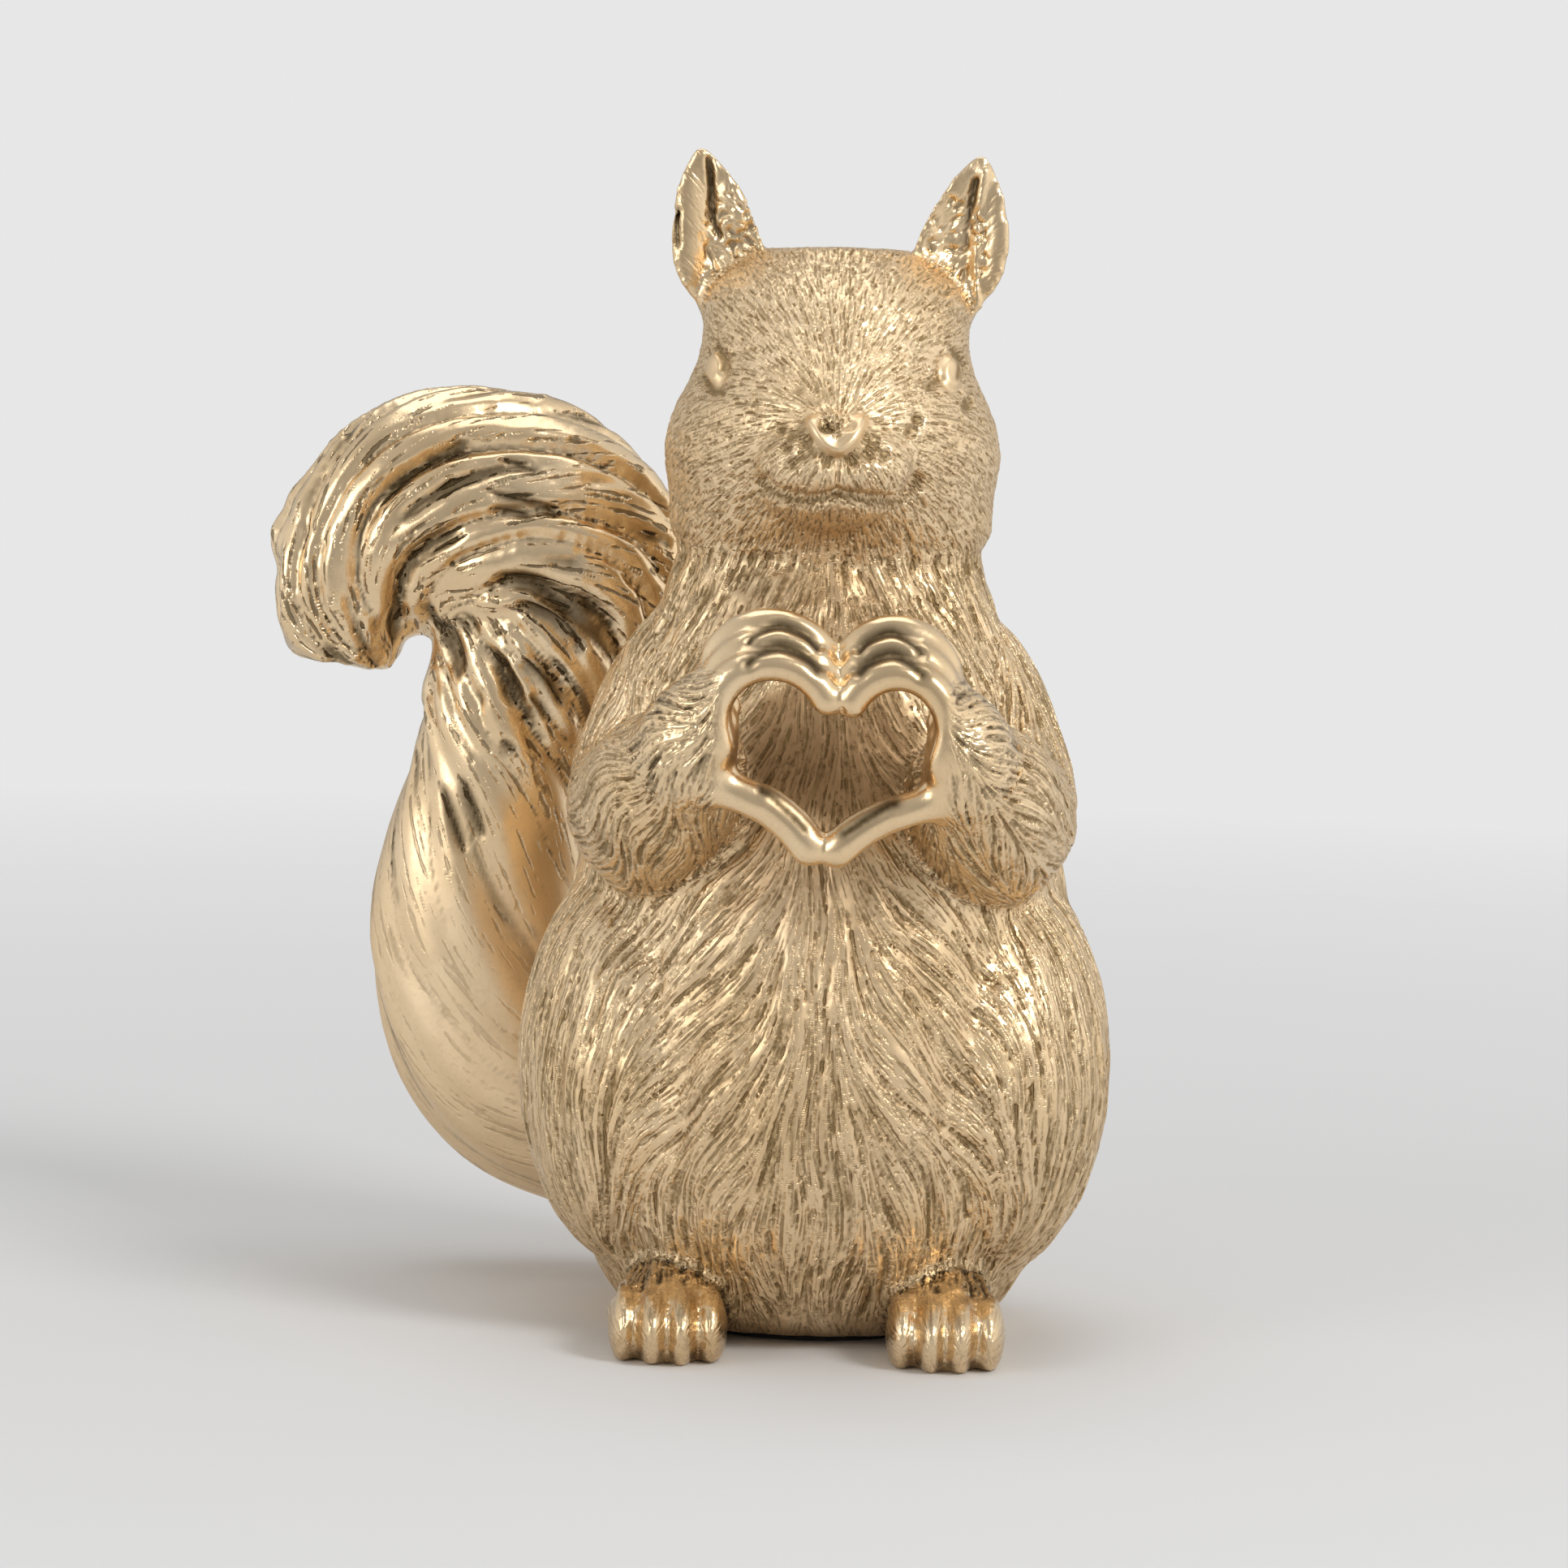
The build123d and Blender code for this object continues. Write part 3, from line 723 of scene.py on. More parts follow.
class SQUIRREL_OT_comb(Operator):
    """Lays the direction in which the hair runs over the whole skin"""

    bl_idname = "squirrel.comb"
    bl_label = "Comb"

    def execute(self, context):
        skin = Skin()
        flow = np.zeros((skin.count, 3))
        for names, field in (
            (("body",), self.body(skin)),
            (("head", "right_ear", "left_ear"), self.head(skin)),
            (("right_arm", "right_paw"), self.arm(skin, -1)),
            (("left_arm", "left_paw"), self.arm(skin, 1)),
            (("right_foot", "left_foot"), np.tile((0.0, -1.0, -0.4), (skin.count, 1))),
            (("tail",), self.tail(skin, context.scene.squirrel_tail)),
        ):
            here = skin.of(*names)
            flow[here] = field[here]
        flow = skin.tangent(skin.relaxed(skin.tangent(flow), 4))
        skin["flow"] = flow
        return {"FINISHED"}

    def body(self, skin):
        x, y, z = (skin.points / MM).T
        front = smooth_step(8.0, -8.0, y)
        splay = 48 * smooth_step(0, 12, np.abs(x)) * (1 - 0.8 * smooth_step(19, 28, np.abs(x)))
        splay *= smooth_step(8, 32, z) * (1 - 0.5 * smooth_step(70, 84, z)) * front
        wave = 11 * np.sin(z / 3.1 + x / 4.0) + 8 * np.sin(x / 2.3 - z / 5.2)
        angle = np.radians(splay * np.sign(x) + wave * 0.55)
        return np.stack((np.sin(angle), np.zeros(skin.count), -np.cos(angle)), axis=1)

    def head(self, skin):
        away = skin.points - np.array(NOSE) * MM
        return away + np.array((0, 0, -0.2)) * np.linalg.norm(away, axis=1, keepdims=True)

    def arm(self, skin, side):
        line = rounded_line(np.array(ARM_LINE) * (side, 1, 1), 40)
        place, _ = skin.place_on(line)
        steps = np.diff(line, axis=0)
        field = steps[np.clip((place * len(steps)).astype(int), 0, len(steps) - 1)]
        wave = 0.3 * np.sin(skin.points[:, 0] / MM / 1.7 + skin.points[:, 2] / MM / 2.9)
        field = unit(field)
        return field + np.cross(skin.normals, field) * wave[:, None]

    def tail(self, skin, sizes):
        """Along the tail to its tip, winding round it with the locks, which are laid here too"""
        line = rounded_line(TAIL_LINE, 181)
        place, _ = skin.place_on(line)
        spans = np.clip(place * (len(line) - 1), 0, len(line) - 1.001)
        first = spans.astype(int)
        middle = line[first] + (spans - first)[:, None] * (line[first + 1] - line[first])
        speed = np.gradient(line, 1 / (len(line) - 1), axis=0)[first]
        along = unit(speed)
        here = skin.of("tail")
        offset = skin.points[:, (0, 2)] - middle
        across = offset[:, 0] * along[:, 1] - offset[:, 1] * along[:, 0]
        depth = self.per_station(
            first, here, skin.points[:, 1], lambda v: 0.5 * (v.min() + v.max()), len(line)
        )
        rise = skin.points[:, 1] - depth
        width = self.per_station(first, here, np.abs(across), np.max, len(line))
        thickness = self.per_station(first, here, np.abs(rise), np.max, len(line))
        angle = np.arctan2(rise / thickness, across / width)
        stations = np.linspace(0, 1, len(line))
        rate = 0.62 + 1.25 * np.exp(-(((stations - 0.52) / 0.13) ** 2))
        turns = sizes.lock_twist * np.cumsum(rate) / rate.sum()
        wound = np.interp(place, stations, turns) + angle / (2 * np.pi)
        broad = 0.018 * np.sin(6 * np.pi * wound + 9 * place)
        narrow = 0.012 * np.sin(14 * np.pi * wound - 17 * place)
        uneven = wound + broad + narrow
        ridge = np.abs(np.cos(np.pi * sizes.lock_count * uneven))
        skin["tail_ridge"] = ridge
        skin["tail_place"] = place
        laid = np.hypot(rise / thickness, across / width)
        wanted = 1.0 - sizes.lock_depth * (1.0 - ridge) ** 2
        crook = np.linalg.norm(skin.points[:, (0, 2)] / MM - np.array(TAIL_CROOK), axis=1)
        free = here * smooth_step(0.985, 0.95, place) * smooth_step(0.1, 0.22, place)
        free = free * smooth_step(0.75, 0.85, laid) * smooth_step(5.0, 11.0, crook)
        grow = free * (wanted / np.maximum(laid, 0.5) - 1.0)
        moved = np.stack((across * along[:, 1], rise, -across * along[:, 0]), axis=1) * grow[:, None]
        skin.shape(skin.points + moved)
        spine = np.stack((along[:, 0], np.zeros(skin.count), along[:, 1]), axis=1)
        sideways = np.hypot(width * np.sin(angle), thickness * np.cos(angle))
        turning = np.gradient(turns, stations)[first]
        slope = sideways * 2 * np.pi * turning / np.linalg.norm(speed, axis=1)
        return spine + np.cross(skin.normals, spine) * slope[:, None]

    @staticmethod
    def per_station(first, here, values, measure, count):
        """A measure of the tail's values at each station of its line, evened out along it, for each vertex"""
        stations = np.unique(first[here])
        found = [measure(values[here & (first == station)]) for station in stations]
        row = np.interp(np.arange(count), stations, found)
        window = np.ones(9) / 9
        return np.convolve(np.pad(row, 4, mode="edge"), window, mode="valid")[first]


def comb_tree():
    """A tree that draws noise out along the flow of a mesh and keeps it as its strand attribute"""
    tree = bpy.data.node_groups.new("comb_strands", "GeometryNodeTree")
    for name, kind in (
        ("Geometry", "NodeSocketGeometry"), ("Grain", "NodeSocketFloat"), ("Step", "NodeSocketFloat"),
        ("Steps", "NodeSocketInt"), ("Seed", "NodeSocketFloat"), ("Material", "NodeSocketMaterial"),
    ):
        tree.interface.new_socket(name, in_out="INPUT", socket_type=kind)
    tree.interface.new_socket("Geometry", in_out="OUTPUT", socket_type="NodeSocketGeometry")
    graph = Graph(tree)
    sizes = graph.node("NodeGroupInput", output="Geometry")
    mesh = sizes

    def named(name, kind="FLOAT_VECTOR"):
        return graph.node("GeometryNodeInputNamedAttribute", {"data_type": kind}, {"Name": name})

    def store(shape, name, value, kind="FLOAT_VECTOR"):
        return graph.node(
            "GeometryNodeStoreNamedAttribute", {"data_type": kind, "domain": "POINT"},
            {"Geometry": shape, "Name": name, "Value": value},
        )

    def vector(operation, first, second):
        key = "Scale" if operation == "SCALE" else 1
        return graph.node("ShaderNodeVectorMath", {"operation": operation}, {0: first, key: second})

    def grain(place):
        scaled = vector("SCALE", place, 1.0 / sizes.of("Grain"))
        return graph.node(
            "ShaderNodeTexNoise", {"noise_dimensions": "4D"},
            {"Vector": scaled, "W": sizes.of("Seed"), "Scale": 1.0, "Detail": 1.0, "Roughness": 0.4},
        )

    position = graph.node("GeometryNodeInputPosition")
    shape = store(store(mesh, "ahead", position), "behind", position)
    shape = store(shape, "strand", grain(position), "FLOAT")
    opening = graph.node("GeometryNodeRepeatInput")
    closing = graph.node("GeometryNodeRepeatOutput")
    opening_node, closing_node = opening.socket.node, closing.socket.node
    opening_node.pair_with_output(closing_node)
    tree.links.new(sizes.of("Steps").socket, opening_node.inputs["Iterations"])
    tree.links.new(shape.socket, opening_node.inputs["Geometry"])
    shape = Wire(graph, opening_node.outputs["Geometry"])
    found = []
    for name, sign in (("ahead", 1.0), ("behind", -1.0)):
        place = named(name)
        index = graph.node(
            "GeometryNodeSampleNearest", {"domain": "POINT"}, {"Geometry": mesh, "Sample Position": place}
        )
        flow = graph.node(
            "GeometryNodeSampleIndex", {"data_type": "FLOAT_VECTOR", "domain": "POINT"},
            {"Geometry": mesh, "Value": named("flow"), "Index": index},
        )
        reach = graph.node(
            "GeometryNodeSampleIndex", {"data_type": "FLOAT", "domain": "POINT"},
            {"Geometry": mesh, "Value": named("reach", "FLOAT"), "Index": index},
        )
        moved = vector("ADD", place, vector("SCALE", flow, sizes.of("Step") * reach * sign))
        shape = store(shape, name, moved)
        found.append(grain(named(name)))
    shape = store(shape, "strand", named("strand", "FLOAT") + found[0] + found[1], "FLOAT")
    tree.links.new(shape.socket, closing_node.inputs["Geometry"])
    shape = Wire(graph, closing_node.outputs["Geometry"])
    shape = graph.node("GeometryNodeRealizeInstances", None, {"Geometry": shape})
    shape = graph.node(
        "GeometryNodeSetMaterial", None, {"Geometry": shape, "Material": sizes.of("Material")}
    )
    graph.node("NodeGroupOutput", None, {"Geometry": shape})
    return tree


def combed(obj, steps, seed, grain, reach):
    """The strand pattern of a mesh for one width and reach of hair, evened out to mean 0 and spread 1"""
    tree = bpy.data.node_groups.get("comb_strands") or comb_tree()
    modifier = obj.modifiers.new("comb", "NODES")
    modifier.node_group = tree
    sockets = {item.name: item.identifier for item in tree.interface.items_tree if item.in_out == "INPUT"}
    for name, value in (
        ("Grain", grain), ("Step", reach / steps), ("Steps", steps), ("Seed", float(seed)),
        ("Material", bpy.data.materials["carved_gold"]),
    ):
        modifier[sockets[name]] = value
    mesh = evaluated_mesh(obj)
    obj.modifiers.remove(modifier)
    values = Skin.read(mesh.attributes["strand"].data, "value", 1)
    bpy.data.meshes.remove(mesh)
    return (values - values.mean()) / values.std()


class SQUIRREL_OT_carve(Operator):
    """Carves strands into the body's fur and hair into the winding locks of the tail"""

    bl_idname = "squirrel.carve"
    bl_label = "Carve"

    def execute(self, context):
        fur = context.scene.squirrel_fur
        skin = Skin()
        z = skin.points[:, 2] / MM
        above = smooth_step(1.5, 6.0, z)
        cuffs = skin.of("right_foot", "left_foot") & (skin.points[:, 1] > -32 * MM)
        body = skin.relaxed((skin.of("body") | cuffs).astype(float), 3) * above
        plume = skin.relaxed(skin.of("tail").astype(float), 3)
        skin["reach"] = 1.0 - 0.6 * smooth_step(74, 84, z) - 0.35 * smooth_step(24, 12, z)
        hair = combed(skin.object, fur.walk_steps, fur.seed, fur.hair_width, fur.hair_reach)
        tuft = combed(skin.object, fur.walk_steps, fur.seed + 1, fur.tuft_width, 2.2 * fur.hair_reach)
        groove = smooth_step(0.1, -1.3, hair)
        height = body * (fur.tuft_height * np.clip(tuft, -2, 2) * 0.5 - fur.hair_depth * groove)
        shade = body * np.clip(1.05 * smooth_step(-0.3, -1.7, hair) + 0.2 * smooth_step(0, -2, tuft), 0, 1)
        skin["reach"] = np.ones(skin.count)
        wisp = skin.relaxed(combed(skin.object, fur.walk_steps, fur.seed + 2, 2.4 * MM, 10.0 * MM), 2)
        ragged = smooth_step(0.25, 0.5, skin["tail_place"])
        valley = smooth_step(0.84, 1.0, 1.0 - skin["tail_ridge"])
        valley = valley * smooth_step(-1.0, 0.8, -wisp + 0.6 * ragged)
        slit = smooth_step(-1.1, -1.8, wisp)
        height += plume * MM * (
            -0.6 * valley - (0.25 + 0.4 * ragged) * slit + 0.15 * np.clip(wisp, -1, 2) * (0.4 + 0.6 * ragged)
        )
        shade += plume * np.clip((0.35 + 0.6 * ragged) * valley + (0.3 + 0.5 * ragged) * slit, 0, 1)
        # Painted shade along the crease where the feet meet the body
        toes = skin.relaxed(skin.of("right_foot", "left_foot").astype(float), 6)
        skin["groove"] = np.clip(shade + 2.4 * toes * (1 - toes), 0, 1)
        furred = skin.relaxed(skin.of(*FURRED).astype(float), 3)
        skin["fur"] = np.where(skin.of("tail"), 0.25 + 0.65 * ragged, furred)
        # Painted shade in patches that are also matt and less metallic
        dull_and_shade = sum(
            strength * smooth_step(0.0, full, skin.near(place, radii) * skin.of(*names))
            for place, radii, names, full, strength in DULL_AND_SHADE_PATCHES
        )
        skin["dull_and_shade"] = np.clip(dull_and_shade, 0, 1)
        skin.shape(skin.points + skin.normals * height[:, None])
        return {"FINISHED"}


class SQUIRREL_OT_part(Operator):
    """Parts the carved skin into its castings again, with a finer mesh where detail is small"""

    bl_idname = "squirrel.part"
    bl_label = "Part the Castings"

    def execute(self, context):
        skin = Skin()
        faces = Skin.read(skin.mesh.loops, "vertex_index", 1, np.int32).reshape(-1, 4)
        labels = np.sort(skin["casting"][faces], axis=1)
        owner = np.where(labels[:, 1] == labels[:, 2], labels[:, 1], labels[:, 0])
        kept = {name: skin[name] for name in ("groove", "fur", "dull_and_shade", "flow")}
        kept["seam_normal"] = skin.normals
        for index, name in enumerate(CASTINGS):
            shared = np.zeros(skin.count, bool)
            shared[faces[owner != index]] = True
            used, corners = np.unique(faces[owner == index], return_inverse=True)
            linked(casting(name), grown_mesh(casting(name), skin.points[used], corners.reshape(-1, 4)))
            piece = Skin(casting(name))
            for attribute, values in kept.items():
                piece[attribute] = values[used]
            piece["rim"] = shared[used].astype(float)
            piece["reach"] = np.ones(piece.count)
            if name not in ("body", "tail"):
                self.divide(piece)
        bpy.data.objects.remove(skin.object)
        return {"FINISHED"}

    def divide(self, piece):
        """Halves the edges of the piece, apart from those at the back of the head"""
        made = bmesh.new()
        made.from_mesh(piece.mesh)
        front = [face for face in made.faces if face.calc_center_median().y < 6 * MM]
        edges = dict.fromkeys(edge for face in front for edge in face.edges)
        bmesh.ops.subdivide_edges(made, edges=list(edges), cuts=1, use_grid_fill=True)
        made.to_mesh(piece.mesh)
        made.free()
        piece = Skin(piece.object.name)
        piece.shape(piece.relaxed(piece.points, 2, piece.held()))
        piece["flow"] = piece.tangent(piece["flow"])


def casting(name):
    """Name of the finished piece that stands for a casting"""
    return name + "_casting"


def carve_fine(piece, seed, grain, reach, depth, where, tuft=0.0):
    """Carves short fine strands into a piece, as deep as where says"""
    where = where * piece.held()
    hair = combed(piece.object, 7, seed, grain * MM, reach * MM)
    height = -depth * MM * smooth_step(0.2, -1.3, hair)
    if tuft:
        locks = combed(piece.object, 7, seed + 50, 4.0 * grain * MM, 2.0 * reach * MM)
        height += tuft * MM * np.clip(locks, -2, 2)
    shade = smooth_step(-0.3, -1.7, hair) * where
    piece["groove"] = np.clip(np.maximum(piece["groove"] * (1 - where), shade), 0, 1)
    piece.shape(piece.points + piece.normals * (height * where)[:, None])


def engrave(piece, where, depth, shade):
    """Sinks a piece where a weight says, and darkens it there"""
    where = where * piece.held()
    piece["groove"] = np.clip(np.maximum(piece["groove"], shade * where), 0, 1)
    piece.shape(piece.points - piece.normals * (depth * MM * where)[:, None])


def raise_form(piece, where, height):
    """Swells a piece where a weight says"""
    piece.shape(piece.points + piece.normals * (height * MM * where * piece.held())[:, None])


class SQUIRREL_OT_head(Operator):
    """Face of the squirrel, and the short fur that spreads from its nose"""

    bl_idname = "squirrel.head"
    bl_label = "Head"

    def execute(self, context):
        head = Skin(casting("head"))
        raise_form(head, head.near(CROWN, (14.0, 18.0, 6.0)), 1.0)
        sockets = sum(head.near(eye, (5.5, 6.0, 6.5)) for eye in EYES)
        head.shape(head.relaxed(head.points, 90, np.clip(2.5 * sockets, 0, 1)))
        head.shape(head.relaxed(head.points, 140, np.clip(3 * head.near(NOSE, (7.5, 8.0, 7.0)), 0, 1)))
        bare = smooth_step(0.3, 0.6, head.drawn(NOSE_WINGS, 1.3))
        for eye in EYES:
            bare = np.maximum(bare, smooth_step(0.15, 0.45, head.near(eye, (2.6, 5.0, 4.2))))
        for pad in MUZZLE_PADS:
            raise_form(head, head.near(pad, (7.0, 8.0, 5.5)), 1.2)
        # The mouth is sunk and darkened as a painted shadow under the muzzle pads
        engrave(head, head.drawn(MOUTH, 0.8), 1.3, 0.9)
        engrave(head, head.drawn(PHILTRUM, 0.5), 0.45, 0.5)
        carve_fine(head, HEAD_SEED, 0.44, 0.6, 0.18, 1 - bare, tuft=0.04)
        # Fur darkening eased on the face, and the mouth line darkened again as a painted shadow
        head["groove"] = np.maximum(0.65 * head["groove"], 0.8 * head.drawn(MOUTH, 0.6))
        for eye in EYES:
            engrave(head, smooth_step(0.0, 0.5, head.near(eye, (3.2, 5.0, 4.4))), 0.35, 0.2)
            raise_form(head, smooth_step(0.0, 0.6, head.near(eye, (2.0, 5.0, 3.1))), 0.6)
        raise_form(head, head.drawn(NOSE_WINGS, 0.8), 0.75)
        for place, radii, depth, shade in NOSE_PITS:
            engrave(head, head.dotted(place, radii), depth, shade)
        for line in EYE_LINES:
            engrave(head, head.drawn(line, 0.55), 0.35, 1.0)
        for line in NOSE_SHADES:
            engrave(head, head.drawn(line, 1.0), 0.2, 0.7)
        for pit in FACE_PITS:
            engrave(head, head.dotted(pit, (1.0, 1.1)), 0.5, 1.0)
        head["fur"] = 0.8 * (1 - bare)
        return {"FINISHED"}


class SQUIRREL_OT_ears(Operator):
    """Folds and rough hollows of the ears"""

    bl_idname = "squirrel.ears"
    bl_label = "Ears"

    def execute(self, context):
        for name, grooves in (("right_ear", RIGHT_EAR_GROOVES), ("left_ear", LEFT_EAR_GROOVES)):
            ear = Skin(casting(name))
            ear.shape(ear.relaxed(ear.points, 14, ear.held()))
            ear.shape(ear.evened(40))
            rough = ear.near(EAR_HOLLOWS[name], (5.5, 4.0, 9.0))
            for place, radii, height in EAR_FOLDS[name]:
                raise_form(ear, ear.dotted(place, radii), height)
            carve_fine(ear, EAR_SEED, 0.9, 0.5, 0.45, smooth_step(0.05, 0.4, rough))
            ear["groove"] = 0.6 * ear["groove"]
            if name == "left_ear":
                raise_form(ear, ear.beside(LEFT_EAR_RIDGE, 0.8), 0.7)
            for line, width, depth in grooves:
                engrave(ear, ear.beside(line, width), depth, 1.0)
            ear["fur"] = np.maximum(0.15, 1 - ear.held())
        return {"FINISHED"}


class SQUIRREL_OT_tail(Operator):
    """Smooth, even locks of the tail"""

    bl_idname = "squirrel.tail"
    bl_label = "Tail"

    def execute(self, context):
        tail = Skin(casting("tail"))
        low = smooth_step(78, 52, tail.points[:, 2] / MM)
        tail.shape(tail.relaxed(tail.points, 50, low * tail.held()))
        tail.shape(tail.evened(25))
        for line, width in TAIL_SLITS:
            engrave(tail, tail.slit(line, width), 0.6 * width, 1.0)
        tail["flow"] = tail.tangent(tail["flow"])
        return {"FINISHED"}


class SQUIRREL_OT_arms(Operator):
    """Fur that runs down the arms and round the elbows to the wrists"""

    bl_idname = "squirrel.arms"
    bl_label = "Arms"

    def execute(self, context):
        for name, seed in ARM_SEEDS:
            arm = Skin(casting(name))
            carve_fine(arm, seed, 0.6, 2.0, 0.34, np.ones(arm.count), tuft=0.1)
        return {"FINISHED"}


class SQUIRREL_OT_paws(Operator):
    """Fur on the backs of the paws, with smooth fingers round the heart"""

    bl_idname = "squirrel.paws"
    bl_label = "Paws"

    def execute(self, context):
        for name, seed in PAW_SEEDS:
            paw = Skin(casting(name))
            across, _, up = (paw.points / MM - np.array(HEART)).T
            side = np.abs(across - 1.2)
            back = smooth_step(13.4, 15.4, side) * smooth_step(11.5, 8.5, np.abs(up))
            hand = -1 if name == "right_paw" else 1
            edge = paw.near(HEART_SIDES[name], (6.0, 10.0, 7.0))
            paw.shape(paw.relaxed(paw.points, 120, np.clip(2.5 * edge, 0, 1) * paw.held()))
            carve_fine(paw, seed, 0.6, 1.6, 0.3, back)
            paw["groove"] = 0.6 * paw["groove"]
            paw["fur"] = 0.6 * back
            # The gaps are darkened with painted shade and dark reflection, and the thumb tops with a painted
            # dark reflection
            for line, width, depth, shade in self.gaps(hand):
                line = leaned(np.array(line) * MM, context.scene.squirrel_skin) / MM
                engrave(paw, paw.drawn(line[:, (0, 2)], width), depth, shade)
            # Darker paint and painted shade in the paw's creases
            paw["groove"] = np.maximum(paw["groove"], 0.8 * paw.hollows(0.05, 0.2))
        return {"FINISHED"}

    @staticmethod
    def gaps(hand):
        """Gaps between the fingers, sunk and darkened with painted shade and dark reflection, and a painted
        dark reflection on the top of the thumb: line, width, depth and shade
        """
        for step, width in ((0.5, 0.9), (1.5, 0.6)):
            y, rise = -48.6 + 2.9 * step, 79.5 + 2.3 * step
            yield [(hand * x, y, rise + up) for x, up in FINGER_ARCH], width, 0.5, 1.0
        yield [(hand * x, -46.3, z) for x, z in THUMB_TOP], 0.85, 0.2, 1.0


class SQUIRREL_OT_feet(Operator):
    """Clefts between the toes and the fur cuffs above them"""

    bl_idname = "squirrel.feet"
    bl_label = "Feet"

    def execute(self, context):
        for name, side in (("right_foot", -1), ("left_foot", 1)):
            foot = Skin(casting(name))
            for places, profile, width, depth, shade in TOE_LINES:
                for across in places:
                    line = [(side * across, y, z) for y, z in profile]
                    engrave(foot, foot.beside(line, width), depth, shade)
            cuff = smooth_step(-33.0, -29.0, foot.points[:, 1] / MM)
            foot["fur"] = np.maximum(cuff, 0.25)
            # Darker paint and painted shade in the foot's hollows, painted shade along its glue line with the
            # body, and the whole foot a little darker
            crease = np.maximum(0.9 * foot.hollows(0.04, 0.18), 0.6 * foot.relaxed(foot["rim"], 6))
            foot["groove"] = np.clip(np.maximum(foot["groove"], crease) + 0.12, 0, 1)
        return {"FINISHED"}


class SQUIRREL_OT_close(Operator):
    """Closes each casting at its glue lines and gives every piece its finish"""

    bl_idname = "squirrel.close"
    bl_label = "Close and Finish"

    def execute(self, context):
        for name in CASTINGS:
            slot = "gold_fur" if name in FURRED else "gold_polish"
            piece = self.closed(Skin(casting(name)))
            finish = OWN_FINISHES.get(name, SLOT_FINISHES[slot])
            piece.data.materials.append(bpy.data.materials[finish])
            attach(piece, "root")
            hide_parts(name)
        for node, slot in (("base_plug", "bare_resin"), ("felt_base", "felt")):
            mesh = frame["nodes"][node].data
            mesh.materials.clear()
            mesh.materials.append(bpy.data.materials[SLOT_FINISHES[slot]])
        return {"FINISHED"}

    def closed(self, piece):
        """Fills the piece's openings; the skin's own normals hide the seams"""
        rim = (piece["rim"] > 0.99)[:, None]
        normals = np.where(rim, piece["seam_normal"], piece.normals)
        shell = len(piece.mesh.polygons)
        made = bmesh.new()
        made.from_mesh(piece.mesh)
        bmesh.ops.holes_fill(made, edges=[edge for edge in made.edges if edge.is_boundary], sides=0)
        bmesh.ops.triangulate(made, faces=[face for face in made.faces if len(face.verts) > 5])
        for face in made.faces:
            face.smooth = True
        made.to_mesh(piece.mesh)
        made.free()
        mesh = piece.mesh
        corners = Skin.read(mesh.loops, "vertex_index", 1, np.int32)
        totals = Skin.read(mesh.polygons, "loop_total", 1, np.int32)
        flat = Skin.read(mesh.polygons, "normal", 3)
        at_cap = np.repeat(np.arange(len(totals)) >= shell, totals)
        split = np.where(at_cap[:, None], np.repeat(flat, totals, axis=0), normals[corners])
        mesh.normals_split_custom_set(unit(split).tolist())
        for name in ("rim", "reach", "seam_normal"):
            mesh.attributes.remove(mesh.attributes[name])
        return piece.object


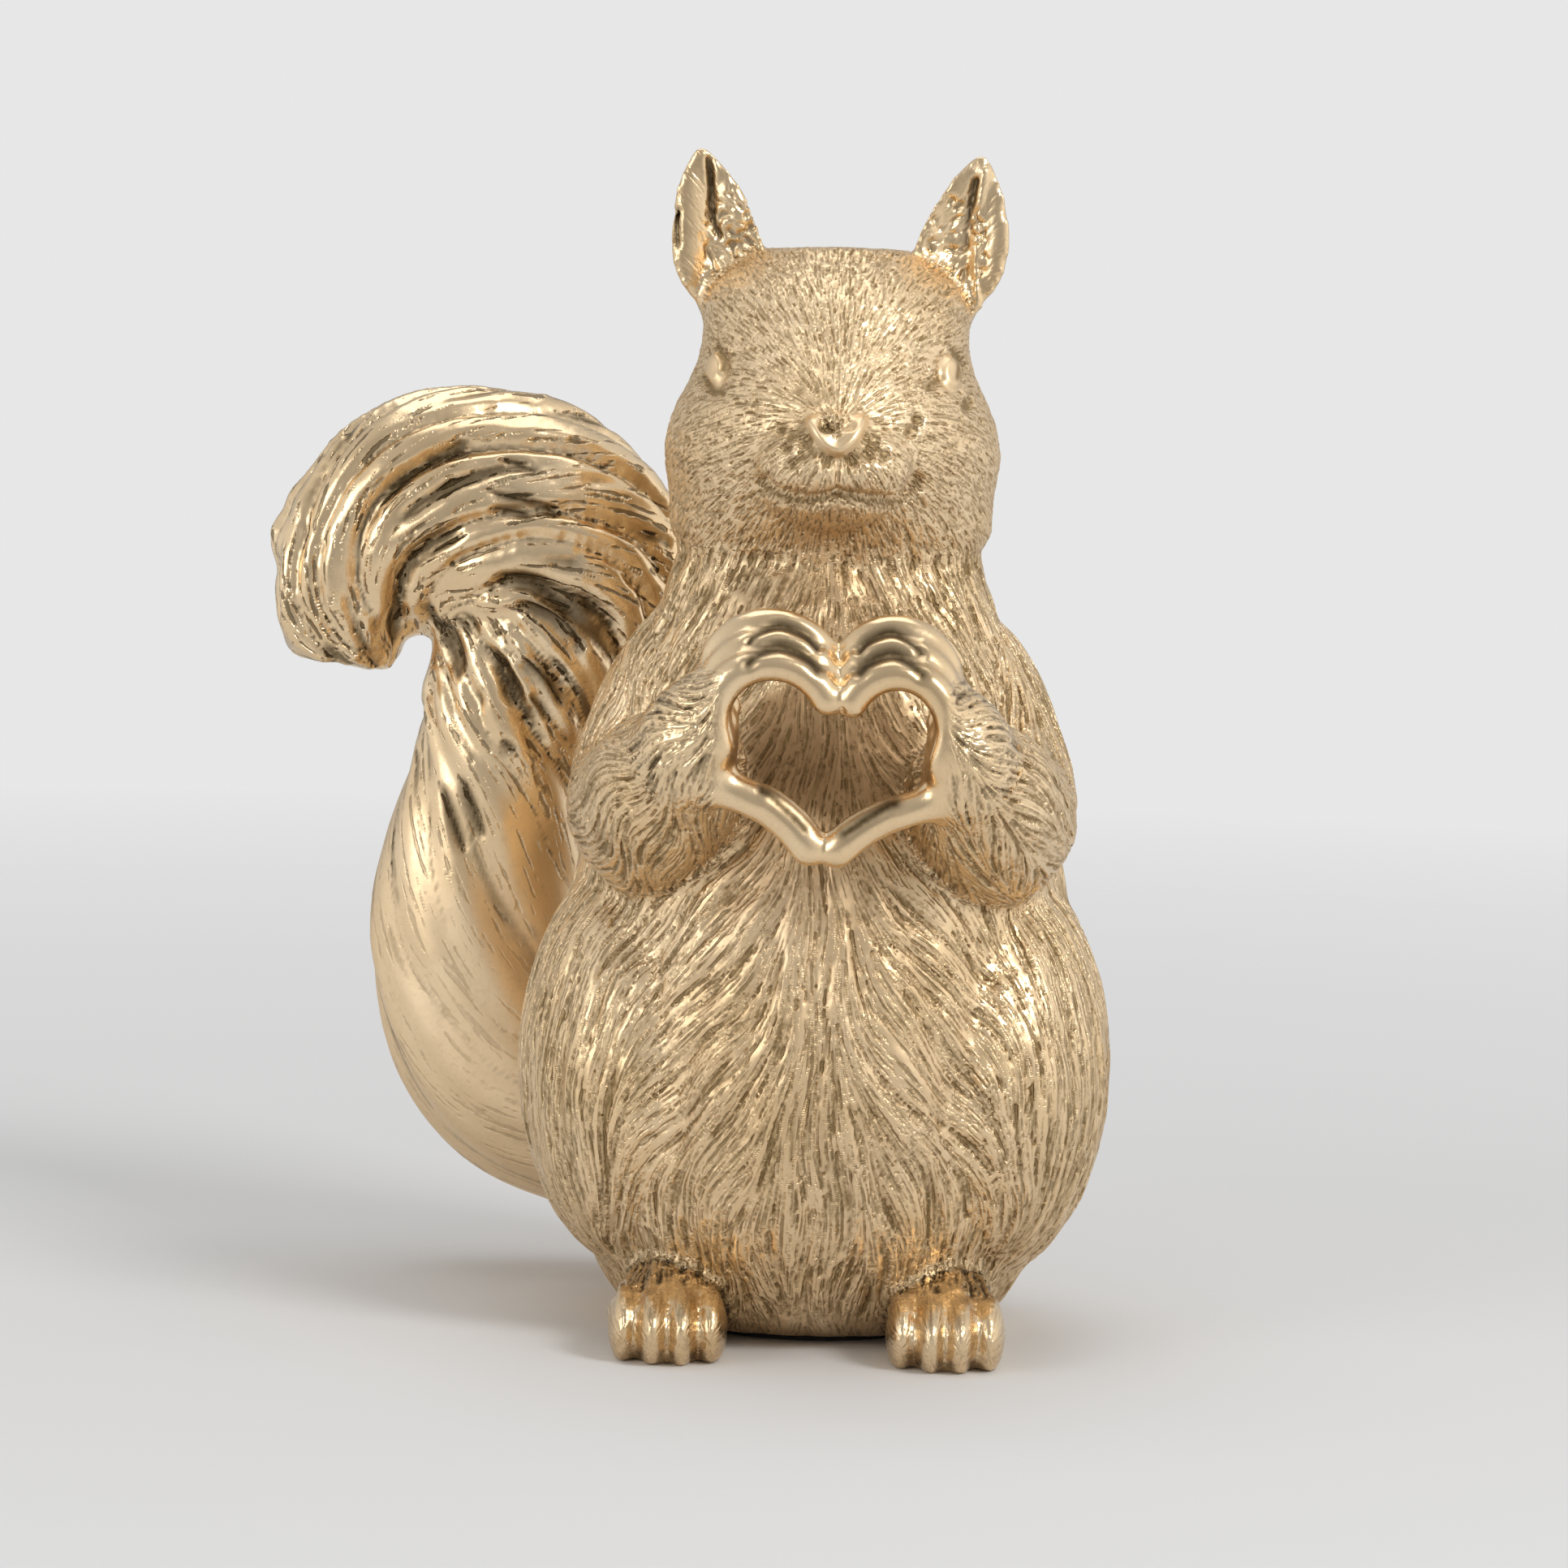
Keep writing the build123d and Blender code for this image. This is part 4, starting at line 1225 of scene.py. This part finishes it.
class SQUIRREL_OT_finish(Operator):
    """Mixes the gold finishes, the bare resin and the felt"""

    bl_idname = "squirrel.finish"
    bl_label = "Finishes"

    def execute(self, context):
        finish = context.scene.squirrel_finish
        self.gold("carved_gold", finish, finish.fur_roughness, 0.42 * MM, 1.8 * MM, 0.26 * MM)
        self.gold(
            "stippled_gold", finish, finish.fur_roughness + 0.05, 0.34 * MM, 0.7 * MM, 0.18 * MM, rubbed=0.2
        )
        self.gold(
            "burnished_gold", finish, finish.polish_roughness, 0.46 * MM, 1.4 * MM, 0.2 * MM, darkness=0.3
        )
        self.gold(
            "brushed_gold", finish, finish.polish_roughness - 0.02, 0.7 * MM, 2.8 * MM, 0.2 * MM,
            rubbed=0.25, satin=0.3, darkness=0.28, level=-0.5, sharpness=1.6,
        )
        self.plain("cast_resin", finish.resin, 0.6, 420.0)
        self.plain("black_felt", finish.felt, 0.95, 2600.0)
        return {"FINISHED"}

    @staticmethod
    def start(name):
        graph = blank(bpy.data.materials.new(name))
        return graph, graph.node("ShaderNodeTexCoord", output="Object")

    def gold(
        self, name, finish, roughness, grain, reach, relief,
        rubbed=0.0, satin=0.0, darkness=1.0, level=0.14, sharpness=0.7,
    ):
        graph, place = self.start(name)
        groove, fur, dull_and_shade = (graph.attribute(key) for key in ("groove", "fur", "dull_and_shade"))
        cloud = graph.node("ShaderNodeTexNoise", None, {"Vector": place, "Scale": 70.0, "Detail": 3.0})
        speck = graph.node("ShaderNodeTexNoise", None, {"Vector": place, "Scale": 1400.0, "Detail": 2.0})
        gap = (sharpness * (level - self.hair(graph, place, grain, reach))).clamped() * fur
        ridge = graph.mixed((1.6 * cloud - 0.35 + rubbed).clamped(), finish.gold, finish.pale_gold)
        deep = [darkness * c for c in finish.groove_brown]
        dark = graph.mixed(cloud, deep, [0.55 * darkness * c for c in finish.gold])
        # The groove attribute is darker gold in the grooves, with painted shade at creases, finger gaps and the
        # mouth
        sunk = (groove + 0.8 * gap + 0.25 * (speck - 0.5)).clamped()
        bright = graph.mixed(sunk, ridge, dark)
        # Colour of the dull patches: painted shade that is also matt, darker in the gaps between strands
        dull_shade_colour = graph.mixed(gap, finish.dull_shade_brown, finish.groove_brown)
        colour = graph.mixed(dull_and_shade, bright, dull_shade_colour)
        rough = roughness + satin * (1.0 - fur) + 0.18 * sunk + 0.2 * dull_and_shade
        rough = (rough + 0.16 * (speck - 0.5) + 0.1 * (cloud - 0.5)).clamped()
        bump = graph.node(
            "ShaderNodeBump", None, {"Strength": 1.0, "Distance": relief, "Height": 0.08 * speck - gap}
        )
        shader = graph.node(
            "ShaderNodeBsdfPrincipled", None,
            {"Base Color": colour, "Metallic": 1.0 - 0.5 * dull_and_shade, "Roughness": rough, "Normal": bump},
        )
        graph.node("ShaderNodeOutputMaterial", None, {"Surface": shader})

    @staticmethod
    def hair(graph, place, grain, reach):
        """Noise drawn out along the flow of the hair, about 0 in the mean with a spread of about 1"""
        flow = graph.node("ShaderNodeAttribute", {"attribute_name": "flow"}, output="Vector")
        total = 0.0
        for step in range(-HAIR_STEPS, HAIR_STEPS + 1):
            shift = reach * step / HAIR_STEPS
            walked = graph.node(
                "ShaderNodeVectorMath", {"operation": "MULTIPLY_ADD"},
                {0: flow, 1: (shift, shift, shift), 2: place},
            )
            total = total + graph.node(
                "ShaderNodeTexNoise", None, {"Vector": walked, "Scale": 1.0 / grain, "Detail": 0.0}
            )
        return (total / (2 * HAIR_STEPS + 1) - 0.5) * 14.0

    def plain(self, name, colour, roughness, scale):
        graph, place = self.start(name)
        speck = graph.node("ShaderNodeTexNoise", None, {"Vector": place, "Scale": scale, "Detail": 4.0})
        tone = graph.mixed(speck, [0.75 * c for c in colour], [min(1.0, 1.2 * c) for c in colour])
        bump = graph.node("ShaderNodeBump", None, {"Strength": 0.4, "Distance": 0.0003, "Height": speck})
        shader = graph.node(
            "ShaderNodeBsdfPrincipled", None,
            {"Base Color": tone, "Roughness": (roughness + 0.1 * (speck - 0.5)).clamped(), "Normal": bump},
        )
        graph.node("ShaderNodeOutputMaterial", None, {"Surface": shader})


class SQUIRREL_PT_panel(Panel):
    """Steps and sizes of the squirrel ornament"""

    bl_idname = "SQUIRREL_PT_panel"
    bl_label = "Squirrel Ornament"
    bl_space_type = "VIEW_3D"
    bl_region_type = "UI"
    bl_category = "Squirrel"

    def draw(self, context):
        for step in STEPS:
            self.layout.operator(step.bl_idname)
        for name, group in SETTINGS:
            box = self.layout.box()
            for size in group.__annotations__:
                box.prop(getattr(context.scene, name), size)


SETTINGS = (
    ("squirrel_skin", SquirrelSkinSettings),
    ("squirrel_fur", SquirrelFurSettings),
    ("squirrel_tail", SquirrelTailSettings),
    ("squirrel_finish", SquirrelFinishSettings),
    ("squirrel_stage", SquirrelStageSettings),
)
STEPS = (
    SQUIRREL_OT_stage,
    SQUIRREL_OT_finish,
    SQUIRREL_OT_skin,
    SQUIRREL_OT_comb,
    SQUIRREL_OT_carve,
    SQUIRREL_OT_part,
    SQUIRREL_OT_head,
    SQUIRREL_OT_ears,
    SQUIRREL_OT_tail,
    SQUIRREL_OT_arms,
    SQUIRREL_OT_paws,
    SQUIRREL_OT_feet,
    SQUIRREL_OT_close,
)


def register():
    for name, group in SETTINGS:
        bpy.utils.register_class(group)
        setattr(bpy.types.Scene, name, PointerProperty(type=group))
    for step in STEPS:
        bpy.utils.register_class(step)
    bpy.utils.register_class(SQUIRREL_PT_panel)


def unregister():
    bpy.utils.unregister_class(SQUIRREL_PT_panel)
    for step in reversed(STEPS):
        bpy.utils.unregister_class(step)
    for name, group in reversed(SETTINGS):
        delattr(bpy.types.Scene, name)
        bpy.utils.unregister_class(group)


def main():
    register()
    bpy.ops.squirrel.stage()
    bpy.ops.squirrel.finish()
    bpy.ops.squirrel.skin()
    bpy.ops.squirrel.comb()
    bpy.ops.squirrel.carve()
    bpy.ops.squirrel.part()
    bpy.ops.squirrel.head()
    bpy.ops.squirrel.ears()
    bpy.ops.squirrel.tail()
    bpy.ops.squirrel.arms()
    bpy.ops.squirrel.paws()
    bpy.ops.squirrel.feet()
    bpy.ops.squirrel.close()


if __name__ == "__main__":
    main()
